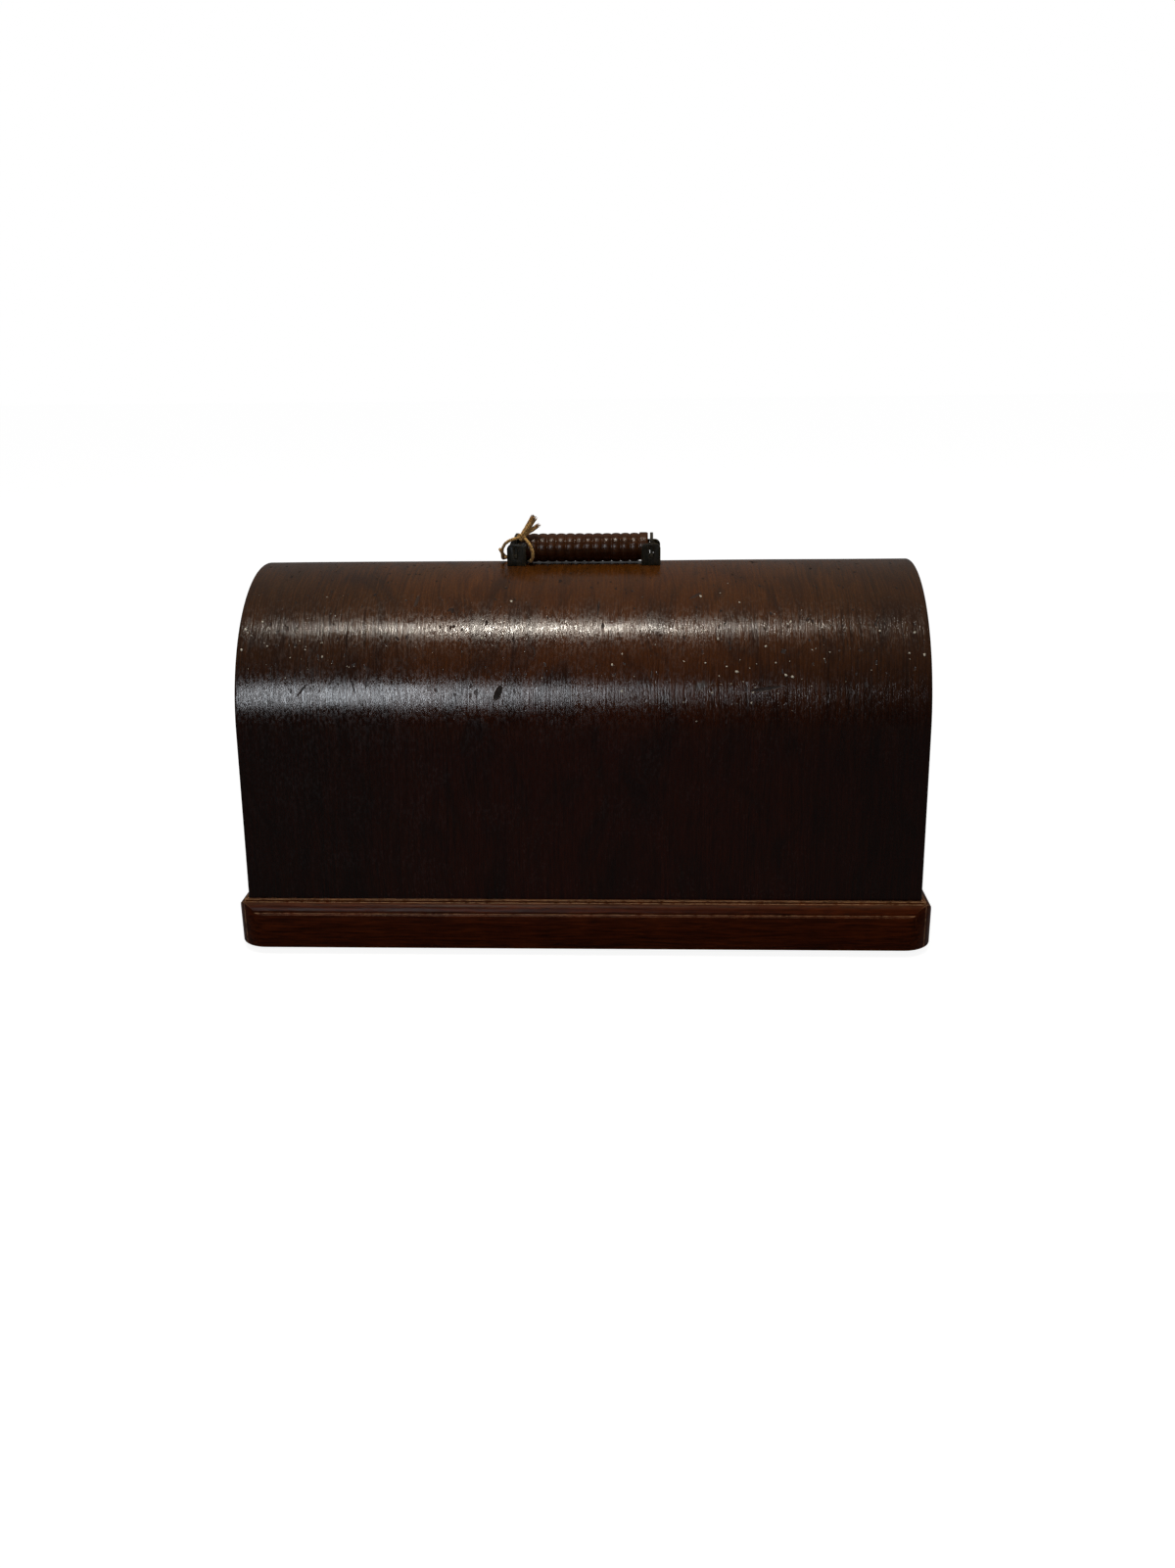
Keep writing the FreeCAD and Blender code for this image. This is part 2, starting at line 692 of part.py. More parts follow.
def make_lock():
    """The hook lock in the right rail."""
    cavity_length = "(case_length - 2 * case_sheet)"
    outer = block("lock_case_outer", ("case_thickness - case_sheet", "case_length", "case_height"),
                  (f"{CASE_IN} + case_sheet", "-case_length / 2", CASE_FOOT))
    cavity = block("lock_case_cavity",
                   ("case_thickness - case_sheet", cavity_length, "case_height - case_sheet"),
                   (CASE_IN, f"-{cavity_length} / 2", CASE_FOOT))
    pivot_at = (CASE_IN, "-pivot_offset", f"{RIM} + pivot_height")
    barrel_at = (CASE_IN, "0", KEY_Z)
    tools = [cavity,
             rod("case_pivot_hole", "pivot_radius + run_gap", "case_thickness + 1", pivot_at, ALONG_X),
             rod("case_barrel_hole", "journal_radius + run_gap", "case_thickness + 1", barrel_at, ALONG_X)]
    piece(cut("lock_case", outer, tools), "lock_case")
    cover = block("lock_cover_blank", ("case_sheet", "case_length", "case_height"),
                  (CASE_IN, "-case_length / 2", CASE_FOOT))
    holes = [rod("cover_pivot_hole", "pivot_radius + run_gap", "case_thickness", pivot_at, ALONG_X),
             rod("cover_barrel_hole", "journal_radius + run_gap", "case_thickness", barrel_at, ALONG_X)]
    piece(cut("lock_cover", cover, holes), "lock_cover")
    plate = stadium("lock_face_blank", "face_length", "face_width", "face_thickness", (LOCK_X, "0", RIM))
    slot = block("lock_face_slot", ("hook_slot_width", "hook_slot_length", "face_thickness + 2"),
                 (f"{LOCK_X} - hook_slot_width / 2", "-hook_slot_length / 2 + 0.5", f"{RIM} - 1"))
    piece(cut("lock_face_plate", plate, [slot] + face_holes("lock_face_hole", LOCK_X)), "lock_face_plate")
    piece(group("lock_screws", face_screws("lock_screw", LOCK_X)), "lock_screws")
    piece(rod("hook_pivot", "pivot_radius", "case_thickness", pivot_at, ALONG_X), "hook_pivot")
    hook_in = f"({LOCK_X} - hook_thickness / 2)"
    arm = block("hook_arm", ("hook_thickness", "hook_length", "2 * hook_half"),
                (hook_in, "-pivot_offset", f"{RIM} + pivot_height - hook_half"))
    eye = rod("hook_eye", "hook_half", "hook_thickness", (hook_in, pivot_at[1], pivot_at[2]), ALONG_X)
    beak = block("hook_beak_block", ("hook_thickness", "hook_beak", "hook_beak"),
                 (hook_in, "hook_length - pivot_offset - hook_beak", f"{RIM} + pivot_height + hook_half"))
    bore = rod("hook_bore", "pivot_radius + run_gap", "hook_thickness + 2",
               (f"{hook_in} - 1", pivot_at[1], pivot_at[2]), ALONG_X)
    piece(cut("lock_hook", join("hook_blank", [arm, eye, beak]), [bore]), "lock_hook")
    drum_in = f"({CASE_IN} + case_sheet + run_gap)"
    drum = rod("barrel_drum", "barrel_radius", "case_thickness - 2 * case_sheet - 2 * run_gap",
               (drum_in, "0", KEY_Z), ALONG_X)
    journal = rod("barrel_journal", "journal_radius", "case_thickness", barrel_at, ALONG_X)
    lobe = block("barrel_lobe", ("hook_thickness", "barrel_arm_width", "barrel_arm"),
                 (hook_in, "-barrel_arm_width / 2", KEY_Z))
    socket_in = f"({CASE_IN} + case_sheet)"
    socket_long = "(case_thickness - case_sheet)"
    socket_hole = rod("barrel_socket_round", "socket_radius", socket_long,
                      (socket_in, "0", KEY_Z), ALONG_X)
    socket_slot = block("barrel_socket_slot", (socket_long, "socket_slot", "socket_drop"),
                        (socket_in, "-socket_slot / 2", f"{KEY_Z} - socket_drop"))
    blank = join("barrel_blank", [drum, journal, lobe])
    piece(cut("lock_barrel", blank, [socket_hole, socket_slot]), "lock_barrel")
    holes = [keyhole("escutcheon_keyhole", "lock_inset + case_thickness")]
    holes += pins("escutcheon_pin_hole", "run_gap")
    piece(cut("keyhole_escutcheon", escutcheon("escutcheon_blank"), holes), "keyhole_escutcheon")
    piece(group("escutcheon_pins", pins("escutcheon_pin")), "escutcheon_pins")


def make_catch():
    """The fixed tongue on its plate under the left end."""
    x = "-" + LOCK_X
    plate = stadium("catch_plate_flat", "face_length", "face_width", "face_thickness", (x, "0", RIM))
    blade = block("catch_blade", ("tongue_sheet", "tongue_width", "tongue_drop + face_thickness / 2"),
                  (f"{x} - tongue_sheet / 2", "-tongue_width / 2", "0"))
    lip = block("catch_lip", ("tongue_sheet / 2 + tongue_lip", "tongue_width", "tongue_lip_height"),
                (f"{x} - tongue_sheet / 2 - tongue_lip", "-tongue_width / 2", "0"))
    blank = join("catch_blank", [plate, blade, lip])
    piece(cut("catch_plate", blank, face_holes("catch_hole", x)), "catch_plate")
    piece(group("catch_screws", face_screws("catch_screw", x)), "catch_screws")


def make_handle():
    """Brackets, grip, rod and end plates."""
    make_bracket("left_bracket", "-")
    make_bracket("right_bracket", "")
    screws = [screw(f"bracket_screw_{number}", "screw_length",
                    (f"{x}{BRACKET_X}", f"{y}bracket_screw_offset", SCREW_FACE))
              for number, (x, y) in enumerate(SCREW_SPOTS)]
    piece(group("bracket_screws", screws), "bracket_screws")
    make_grip()
    make_rod()
    make_end_plate("left_end_plate", "-")
    make_end_plate("right_end_plate", "")


def check_all():
    """Stops if any object failed, or any sub-part's shape is null or broken."""
    doc.recompute()
    broken = [item.Name for item in doc.Objects if "Invalid" in item.State or "Error" in item.State]
    if broken:
        raise RuntimeError(f"these objects failed: {broken}")
    for item in pieces:
        shape = item.Shape
        if shape.isNull() or not shape.isValid() or not shape.Solids:
            raise RuntimeError(f"{item.Label} has no sound shape")
        box = shape.BoundBox
        print(f"{item.Label:20s} {len(shape.Solids)} solid {shape.Volume:10.1f} mm3"
              f"  x {box.XMin:7.1f} {box.XMax:7.1f}  y {box.YMin:7.1f} {box.YMax:7.1f}"
              f"  z {box.ZMin:6.1f} {box.ZMax:6.1f}")


make_plinth()
make_shell()
make_ends()
make_corner_blocks()
make_handle_block()
make_handle()
make_twine()
make_lock()
make_catch()
check_all()

os.makedirs("parts", exist_ok=True)
for item in pieces:
    item.Shape.exportStep(os.path.join("parts", item.Label + ".step"))
print(len(pieces), "sub-parts written")
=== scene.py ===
# %% [markdown]
# A domed bentwood cover box, dressed in Blender around its imported CAD frame. The frame gives every
# piece its place and every moving body its joint. What is added here is what the eye sees: the
# varnished veneer, the mellow edges, the turned grip and the twine. The frame comes first, because
# everything else is placed by it, and its box is kept.

# %% the frame
import math
import bmesh
import bpy
import numpy as np
from mathutils import Matrix


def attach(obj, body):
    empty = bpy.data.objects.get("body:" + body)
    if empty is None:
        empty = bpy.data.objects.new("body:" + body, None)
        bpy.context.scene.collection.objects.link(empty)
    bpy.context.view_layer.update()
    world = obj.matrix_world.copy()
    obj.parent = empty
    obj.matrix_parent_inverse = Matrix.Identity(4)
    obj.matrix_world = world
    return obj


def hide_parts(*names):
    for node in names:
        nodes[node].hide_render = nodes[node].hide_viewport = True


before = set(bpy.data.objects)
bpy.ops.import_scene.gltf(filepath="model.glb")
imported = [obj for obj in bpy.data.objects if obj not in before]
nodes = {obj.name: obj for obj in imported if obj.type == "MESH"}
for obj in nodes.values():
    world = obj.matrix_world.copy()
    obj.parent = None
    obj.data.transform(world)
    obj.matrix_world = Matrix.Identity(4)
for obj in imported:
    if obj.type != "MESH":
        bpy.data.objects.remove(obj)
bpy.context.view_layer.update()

MM = 0.001

# %% [markdown]
# The camera stands where the photographer stood. Its place and its turn were found by fitting the
# cover's outline, so a point of the object falls on the same pixel as in the photograph. The image is
# taller than wide, and its long side is the sensor's 36 mm.

# %% the camera
IMAGE_HEIGHT = 1601
FOCAL_PIXELS = 1346
SENSOR = 36
CAMERA_PLACE = (39.46 * MM, -874.07 * MM, 370.44 * MM)
CAMERA_PITCH = math.radians(18.43)
CAMERA_YAW = math.radians(-2.58)
CAMERA_ROLL = math.radians(-0.77)


def camera_turn():
    """World from camera: first level and looking along +Y, then yaw, then pitch down, then roll."""
    level = Matrix.Rotation(math.pi / 2, 3, "X")
    pitched = Matrix.Rotation(-CAMERA_PITCH, 3, "X")
    rolled = Matrix.Rotation(CAMERA_ROLL, 3, "Z")
    return Matrix.Rotation(-CAMERA_YAW, 3, "Z") @ level @ pitched @ rolled


camera_data = bpy.data.cameras.new("camera")
camera_data.sensor_width = SENSOR
camera_data.lens = FOCAL_PIXELS / IMAGE_HEIGHT * SENSOR
camera_data.clip_start = 0.01
camera = bpy.data.objects.new("camera", camera_data)
camera.matrix_world = Matrix.Translation(CAMERA_PLACE) @ camera_turn().to_4x4()
bpy.context.scene.collection.objects.link(camera)
bpy.context.scene.camera = camera
print("lens, mm:", round(camera_data.lens, 2))

# %% [markdown]
# Every new piece is a surface worked out as whole arrays, so a few helpers come first. They join a
# grid of points with faces, give a piece its body and the node it stands for, and send a round section
# along a line.

# %% helpers for surfaces
def sheet_faces(rows, columns, around=False, across=False):
    """The quads of a grid of points kept row by row. Either way it may close on itself."""
    row = np.arange(rows if across else rows - 1)
    column = np.arange(columns if around else columns - 1)
    row, column = np.meshgrid(row, column, indexing="ij")
    after, beside = (row + 1) % rows, (column + 1) % columns
    corners = [row * columns + column, row * columns + beside,
               after * columns + beside, after * columns + column]
    return np.stack(corners, axis=-1).reshape(-1, 4)


def place_piece(name, mesh, body, stands_for=()):
    """A mesh becomes a smooth piece that rides on a body. It may stand for nodes of the frame."""
    mesh.shade_smooth()
    piece = bpy.data.objects.new(name, mesh)
    bpy.context.scene.collection.objects.link(piece)
    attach(piece, body)
    if stands_for:
        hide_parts(*stands_for)
    return piece


def make_piece(name, points, faces, body, stands_for=(), finish=None, marks=None):
    """A piece from points in mm and faces. marks are numbers kept on the points, for a finish to read."""
    mesh = bpy.data.meshes.new(name)
    mesh.from_pydata((np.asarray(points) * MM).tolist(), [], [list(face) for face in faces])
    for mark, values in (marks or {}).items():
        mesh.attributes.new(mark, "FLOAT", "POINT").data.foreach_set("value", np.ravel(values))
    return place_piece(name, mesh, body, stands_for)


def turn_outwards(piece):
    """Merges the doubles of a closed piece and makes all its faces point outwards."""
    work = bmesh.new()
    work.from_mesh(piece.data)
    bmesh.ops.remove_doubles(work, verts=work.verts, dist=0.001 * MM)
    bmesh.ops.recalc_face_normals(work, faces=work.faces)
    work.to_mesh(piece.data)
    work.free()


def running_length(line):
    """How far along a line each of its points lies."""
    return np.concatenate([[0], np.cumsum(np.linalg.norm(np.diff(line, axis=0), axis=1))])


def frames_along(line):
    """At each point of a line: the way it goes, and two square directions that turn as little as they
    can. Each pair is the one before, laid flat on the next section."""
    ahead = np.gradient(line, axis=0)
    ahead /= np.linalg.norm(ahead, axis=1, keepdims=True)
    side = np.empty_like(line)
    start = np.eye(3)[np.argmin(np.abs(ahead[0]))]
    for number, way in enumerate(ahead):
        start = start - way * start.dot(way)
        start /= np.linalg.norm(start)
        side[number] = start
    return ahead, side, np.cross(ahead, side)


def tube(line, radius, sides=8):
    """A round section carried along a line, closed by a point at each end: point(u, v) = line(u) +
    radius(u) (cos v side + sin v over)."""
    _, side, over = frames_along(line)
    radius = np.broadcast_to(radius, len(line))[:, None, None]
    angle = np.linspace(0, 2 * np.pi, sides, endpoint=False)[None, :, None]
    rings = line[:, None] + radius * (np.cos(angle) * side[:, None] + np.sin(angle) * over[:, None])
    count = len(line) * sides
    points = np.concatenate([rings.reshape(-1, 3), line[:1], line[-1:]])
    last = count - sides
    faces = sheet_faces(len(line), sides, around=True)[:, ::-1].tolist()
    faces += [(count, (number + 1) % sides, number) for number in range(sides)]
    faces += [(count + 1, last + number, last + (number + 1) % sides) for number in range(sides)]
    return points, faces


def gather(parts):
    """Several lots of points and faces as one."""
    points, faces, start = [], [], 0
    for some, these in parts:
        points.append(some)
        faces += [[corner + start for corner in face] for face in these]
        start += len(some)
    return np.concatenate(points), faces


rng = np.random.default_rng(1926)
print("helpers ready")

# %% [markdown]
# A short length of twine is tied round the left bracket of the handle. It is the one free cord here,
# so it is settled before the rest: its route is a smooth spline through the space its solids hold.
# The route is given from the bracket's middle and the ridge of the arch.

# %% the twine's routes
BRACKET_X = 44
RIDGE = 234
TIED_AT = np.array([-BRACKET_X, 0, RIDGE])
TWINE_STEP = 0.35
TUFT = [(-12.6, 6.0, 8.0), (-11.0, 9.0, 4.0), (-9.4, 11.0, 1.9), (-6.4, 12.6, 1.2)]
KNOT = (3.7, -8.8, 17.9)
LOOP = [
    (4.8, -9.0, 17.7),
    (8.0, -11.4, 15.2),
    (10.8, -12.0, 9.4),
    (10.6, -11.2, 3.6),
    (8.0, -5.6, 0.95),
    (8.0, 4.6, 0.95),
    (8.8, 12.6, 1.4),
    (-0.8, 14.6, 1.3),
    (-8.8, 12.2, 1.5),
    (-10.6, 3.6, 2.0),
    (-9.6, -5.6, 5.0),
    (-9.4, -11.2, 10.9),
    (-5.4, -13.4, 16.2),
    (2.6, -9.2, 17.8),
]
LONG_END = [KNOT, (6.5, -8.4, 22.4), (9.6, -7.4, 26.6), (12.6, -7.2, 31.5)]
SHORT_END = [KNOT, (8.0, -8.0, 20.6), (12.4, -7.2, 23.6), (16.0, -7.0, 26.1)]


def twine_line(name, route):
    """Even points, in mm, along the smooth spline whose control points are the route, and its length."""
    curve = bpy.data.curves.new(name, "CURVE")
    curve.dimensions = "3D"
    curve.resolution_u = 16
    spline = curve.splines.new("NURBS")
    spline.points.add(len(route) - 1)
    for point, spot in zip(spline.points, (np.array(route) + TIED_AT) * MM):
        point.co = (*spot, 1)
    spline.order_u = 3
    spline.use_endpoint_u = True
    holder = bpy.data.objects.new(name, curve)
    mesh = bpy.data.meshes.new_from_object(holder)
    line = np.empty(len(mesh.vertices) * 3)
    mesh.vertices.foreach_get("co", line)
    bpy.data.objects.remove(holder)
    line = line.reshape(-1, 3) / MM
    run = running_length(line)
    want = np.linspace(0, run[-1], int(round(run[-1] / TWINE_STEP)) + 1)
    return np.stack([np.interp(want, run, line[:, axis]) for axis in range(3)], axis=1), run[-1]


loop_line, loop_length = twine_line("loop_route", LOOP)
long_line, long_length = twine_line("long_end_route", LONG_END)
short_line, short_length = twine_line("short_end_route", SHORT_END)
tuft_line, tuft_length = twine_line("tuft_route", TUFT)
print("twine, mm:", [round(length, 1) for length in (loop_length, long_length, short_length, tuft_length)])

# %% [markdown]
# Twine is three plies laid round each other. Each ply is a thin tube on a helix about the route, and
# finer fibres stand off it, which is what makes it look soft. Past the knot the ends have come
# unlaid, so there the fibres part and spread like a brush.

# %% the laid twine
PLY_PITCH = 5.2
PLY_OFFSET = 0.52
PLY_RADIUS = 0.56
FIBRE_RADIUS = 0.035


def laid_plies(line, length, offset=PLY_OFFSET, radius=PLY_RADIUS):
    """Three tubes, each on the helix line + offset (cos a side + sin a over), a = turns + a third. Slow
    waves let each ply wander and swell a little, as hand-laid ones do."""
    _, side, over = frames_along(line)
    run = np.linspace(0, length, len(line))
    parts = []
    for ply in range(3):
        angle = 2 * np.pi * (run / PLY_PITCH + ply / 3)
        wander = 1 + 0.12 * np.sin(run * 1.7 + 2.1 * ply)
        path = line + offset * wander[:, None] * (
            np.cos(angle)[:, None] * side + np.sin(angle)[:, None] * over)
        swell = radius * (1 + 0.1 * np.sin(run * 2.9 + ply * 1.3))
        parts.append(tube(path, swell))
    return parts


def stray_fibres(line, count, reach, start=0.5, thin=FIBRE_RADIUS):
    """Short fibres that leave the line at random places, lean along it and curl. They begin at start
    from the line, inside its plies, and reach out from there."""
    ahead, side, over = frames_along(line)
    parts = []
    for _ in range(count):
        spot = int(rng.integers(2, len(line) - 2))
        angle = rng.uniform(0, 2 * np.pi)
        out = np.cos(angle) * side[spot] + np.sin(angle) * over[spot]
        lean = ahead[spot] * rng.uniform(-1, 1) + rng.normal(0, 0.35, 3)
        span = reach * rng.uniform(0.35, 1)
        step = np.linspace(0, 1, 5)[:, None]
        path = line[spot] + out * (start + 0.5 * span * step) + lean * span * step * (0.4 + 0.6 * step)
        parts.append(tube(path, np.linspace(thin, thin * 0.4, len(step)), sides=3))
    return parts


def brush(line, count, thick, first, last):
    """Fibres side by side along a line, close at its start and apart at its tip: each keeps its own
    place in the section, which grows from first to last as the run to the power 1.6."""
    _, side, over = frames_along(line)
    share = np.linspace(0, 1, len(line))
    parts = []
    for _ in range(count):
        angle = rng.uniform(0, 2 * np.pi)
        place = np.sqrt(rng.uniform(0, 1))
        width = place * (first + (last - first) * share ** 1.6)
        sway = 0.18 * np.sin(share * rng.uniform(5, 11) + rng.uniform(0, 6))
        turn = angle + 1.4 * share * rng.normal(0.4, 0.6)
        path = line + (width * np.cos(turn) + sway)[:, None] * side \
            + (width * np.sin(turn) + sway)[:, None] * over
        stop = int(len(line) * rng.uniform(0.72, 1))
        thin = thick * rng.uniform(0.7, 1.3) * (1 - 0.45 * share)
        parts.append(tube(path[:stop], thin[:stop], sides=5))
    return parts


def twine_piece(name, parts, stands_for=()):
    """Tubes as one piece of twine. It rides with the handle that it is tied to."""
    return make_piece(name, *gather(parts), "handle", stands_for, "twine")


twine_round = twine_piece("twine_round_bracket", laid_plies(loop_line, loop_length), ["twine_loop"])
twine_stray = twine_piece("twine_stray_fibres", stray_fibres(loop_line, count=260, reach=2.2))
end_parts = brush(long_line, count=150, thick=0.2, first=1.5, last=2.3)
end_parts += brush(short_line, count=70, thick=0.17, first=1.0, last=1.4)
end_parts += stray_fibres(long_line[len(long_line) // 3:], count=40, reach=2.6, start=0.9, thin=0.04)
end_parts += stray_fibres(short_line[len(short_line) // 3:], count=40, reach=3.0, start=0.6, thin=0.04)
end_parts += brush(tuft_line, count=60, thick=0.17, first=0.9, last=1.7)
twine_frayed = twine_piece("twine_frayed_ends", end_parts, ["twine_ends"])

# %% [markdown]
# The knot is twine on the closed path of a simple overhand knot, drawn tight: (sin t + 2 sin 2t,
# - flat sin 3t, cos t - 2 cos 2t). Its plies are slimmer, because they are pulled together.

# %% the knot, and what the twine is
KNOT_SIZE = 0.72
KNOT_FLAT = 1.25
KNOT_LENGTH = 28

turn = np.linspace(0, 2 * np.pi, 97)
knot_line = KNOT_SIZE * np.stack([np.sin(turn) + 2 * np.sin(2 * turn), -KNOT_FLAT * np.sin(3 * turn),
                                  np.cos(turn) - 2 * np.cos(2 * turn)], axis=1)
knot_line += np.array(KNOT) + TIED_AT
knot_parts = laid_plies(knot_line, KNOT_LENGTH, offset=0.42, radius=0.46)
knot_parts += stray_fibres(knot_line, count=60, reach=1.8)
twine_knot = twine_piece("twine_tied_knot", knot_parts, ["twine_knot"])
print("twine faces:", [len(piece.data.polygons) for piece in (twine_round, twine_frayed, twine_knot)])

# %% [markdown]
# The cover's body is bentwood: thin plies glued round a form, with a show veneer outside. Its section
# is a short upright foot, a side that leans in a little, and a round arch. One closed surface follows
# that section from end to end, so the gloss runs over it without a facet. An old shell isn't true, so
# it gets a very slight wave, which is what bends the streaks of light on it.

# %% the bentwood shell
SHELL_X = 214.5
SHELL_Y = 103.0
LEDGE = 11.0
PLINTH_TOP = 35.8
ARCH_RADIUS = 95.8
ARCH_Z = RIDGE - ARCH_RADIUS
SHELL_THICKNESS = 6.0
EDGE_ROUND = 1.3
ROUND_STEPS = 5
WAVE = 0.12


def lean_normal():
    """The outward normal of the leaning side, which runs from the foot's top until it touches the
    arch: the tangent from a point to a circle."""
    rise = ARCH_Z - PLINTH_TOP
    reach = SHELL_Y ** 2 + rise ** 2
    tangent = math.sqrt(reach - ARCH_RADIUS ** 2)
    return ((ARCH_RADIUS * SHELL_Y + tangent * rise) / reach,
            (tangent * SHELL_Y - ARCH_RADIUS * rise) / reach)


LEAN_Y, LEAN_Z = lean_normal()


def arch_line(inset, foot=4, side=26, arc=75):
    """The section's line this far inside the outer face, as (y, z) from the front foot over the top to
    the back foot: foot, lean, then centre + radius (-cos a, sin a)."""
    wall = SHELL_Y - inset
    bend = PLINTH_TOP - inset * LEAN_Z / (1 + LEAN_Y)
    radius = ARCH_RADIUS - inset
    touch = (radius * LEAN_Y, ARCH_Z + radius * LEAN_Z)
    low = np.linspace((wall, LEDGE), (wall, bend), foot, endpoint=False)
    lean = np.linspace((wall, bend), touch, side, endpoint=False)
    angle = np.linspace(math.atan2(LEAN_Z, LEAN_Y), np.pi / 2, arc)
    arch = np.stack([radius * np.cos(angle), ARCH_Z + radius * np.sin(angle)], axis=1)
    half = np.concatenate([low, lean, arch])
    front = half * (-1, 1)
    return np.concatenate([front, half[-2::-1]])


def shell_wave(x, run):
    """How far in the old shell has moved, in mm: three long slow waves over its length and round it,
    lifted by the sum of their heights so that they never go outwards."""
    wave = np.sin(x / 61 + run / 95 + 0.6) + 0.7 * np.sin(x / 37 - run / 44 + 2.0) \
        + 0.4 * np.sin(x / 23 + run / 31)
    return WAVE * (wave + 2.1)


SHELL_LINE = arch_line(0)
FRONT_HALF = SHELL_LINE[:len(SHELL_LINE) // 2 + 1]
SHELL_RUN = running_length(SHELL_LINE)
SHELL_RUN -= SHELL_RUN[-1] / 2


def shell_front(z):
    """Y of the outer face, on the front, at a height."""
    return float(np.interp(z, FRONT_HALF[:, 1], FRONT_HALF[:, 0]))


def shell_surface():
    """The outer line, its two rounded ends and the inner line as rings along X, closed at both ends and
    along both feet. Each point keeps its depth in the wall, 0 outside to 1 inside."""
    straight = SHELL_X - EDGE_ROUND
    bend = np.linspace(0, np.pi / 2, ROUND_STEPS + 1)[1:]
    ends = straight + EDGE_ROUND * np.sin(bend)
    x = np.concatenate([-ends[::-1], np.linspace(-1, 1, 171) * straight, ends])
    drop = np.zeros(len(x))
    drop[-ROUND_STEPS:] = EDGE_ROUND * (1 - np.cos(bend))
    drop[:ROUND_STEPS] = drop[-ROUND_STEPS:][::-1]
    inner = arch_line(SHELL_THICKNESS)
    across = inner - SHELL_LINE
    across /= np.linalg.norm(across, axis=1, keepdims=True)
    inward = drop[:, None] + shell_wave(x[:, None], SHELL_RUN[None, :])
    skin = SHELL_LINE + inward[:, :, None] * across
    lining = np.broadcast_to(inner, skin.shape)
    station = np.broadcast_to(x[:, None, None], (*inward.shape, 1))
    points = [np.concatenate([station, layer], axis=2).reshape(-1, 3) for layer in (skin, lining)]
    depth = np.ones((2, *inward.shape))
    depth[0] = drop[:, None] / SHELL_THICKNESS
    long, wide = inward.shape
    count = long * wide
    quads = sheet_faces(long, wide)
    first = np.arange(wide - 1)
    last = first + (long - 1) * wide
    faces = [quads, quads[:, ::-1] + count,
             np.stack([first, first + count, first + 1 + count, first + 1], 1),
             np.stack([last, last + 1, last + 1 + count, last + count], 1)]
    along = np.arange(long - 1) * wide
    for edge in (0, wide - 1):
        near, far = along + edge, along + wide + edge
        faces.append(np.stack([near, far, far + count, near + count], 1))
    return np.concatenate(points), np.concatenate(faces), depth


shell_points, shell_faces, shell_depth = shell_surface()
turn_outwards(make_piece("bentwood_cover_shell", shell_points, shell_faces, "cover", ["bentwood_shell"],
                         "veneer", {"depth": shell_depth}))
print("shell points:", len(shell_points), "faces:", len(shell_faces))

# %% [markdown]
# The hard parts keep the frame's own shapes, but a real arris is never sharp. A copy of each node's
# mesh has its loose triangles merged and its flat faces joined, and a narrow bevel then turns every
# sharp edge into one that catches the light.

# %% softened copies of the hard parts
ARRIS_ANGLE = math.radians(28)


def soften(node, name, body, width, segments=2):
    """A copy of a node's mesh with its doubles merged and its edges rounded, in the node's place."""
    mesh = nodes[node].data.copy()
    mesh.name = name
    work = bmesh.new()
    work.from_mesh(mesh)
    bmesh.ops.remove_doubles(work, verts=work.verts, dist=0.002 * MM)
    bmesh.ops.dissolve_limit(work, angle_limit=math.radians(1), verts=work.verts, edges=work.edges)
    work.to_mesh(mesh)
    work.free()
    piece = place_piece(name, mesh, body, [node])
    rounding = piece.modifiers.new("rounding", "BEVEL")
    rounding.width = width * MM
    rounding.segments = segments
    rounding.limit_method = "ANGLE"
    rounding.angle_limit = ARRIS_ANGLE
    rounding.use_clamp_overlap = True
    rounding.harden_normals = True


for side in ("front", "back", "left", "right"):
    soften(f"{side}_rail", f"plinth_{side}_rail", "cover", 0.7, 3)
for side in ("left", "right"):
    soften(f"{side}_bracket", f"iron_{side}_bracket", "cover", 0.35, 3)
for side in ("left", "right"):
    soften(f"{side}_end_plate", f"steel_{side}_end_plate", "handle", 0.25)

# %% [markdown]
# The grip is turned on a lathe as a row of beads, so its shape is one profile spun about its rod. The
# beads were cut by hand: each is a little different in width and height, and that is kept, because it
# scatters the row of lights along it. Old grips hang loose on their rods, so this one sits a little low
# between the brackets. Its two ends, inside the brackets, keep the solid's size and place.

# %% the turned grip
GRIP_Z = 244.1
GRIP_RADIUS = 9.35
GRIP_SAG = 0.6
BRACKETS_START = 36.5
RADIUS_IN_BRACKET = 9.05
BORE = 2.55
BEADS = 14
BEAD_PITCH = 6.0
GROOVE = 0.8
UNEVEN_HEIGHT = 0.12
UNEVEN_WIDTH = 0.1
OUT_OF_ROUND = 0.004


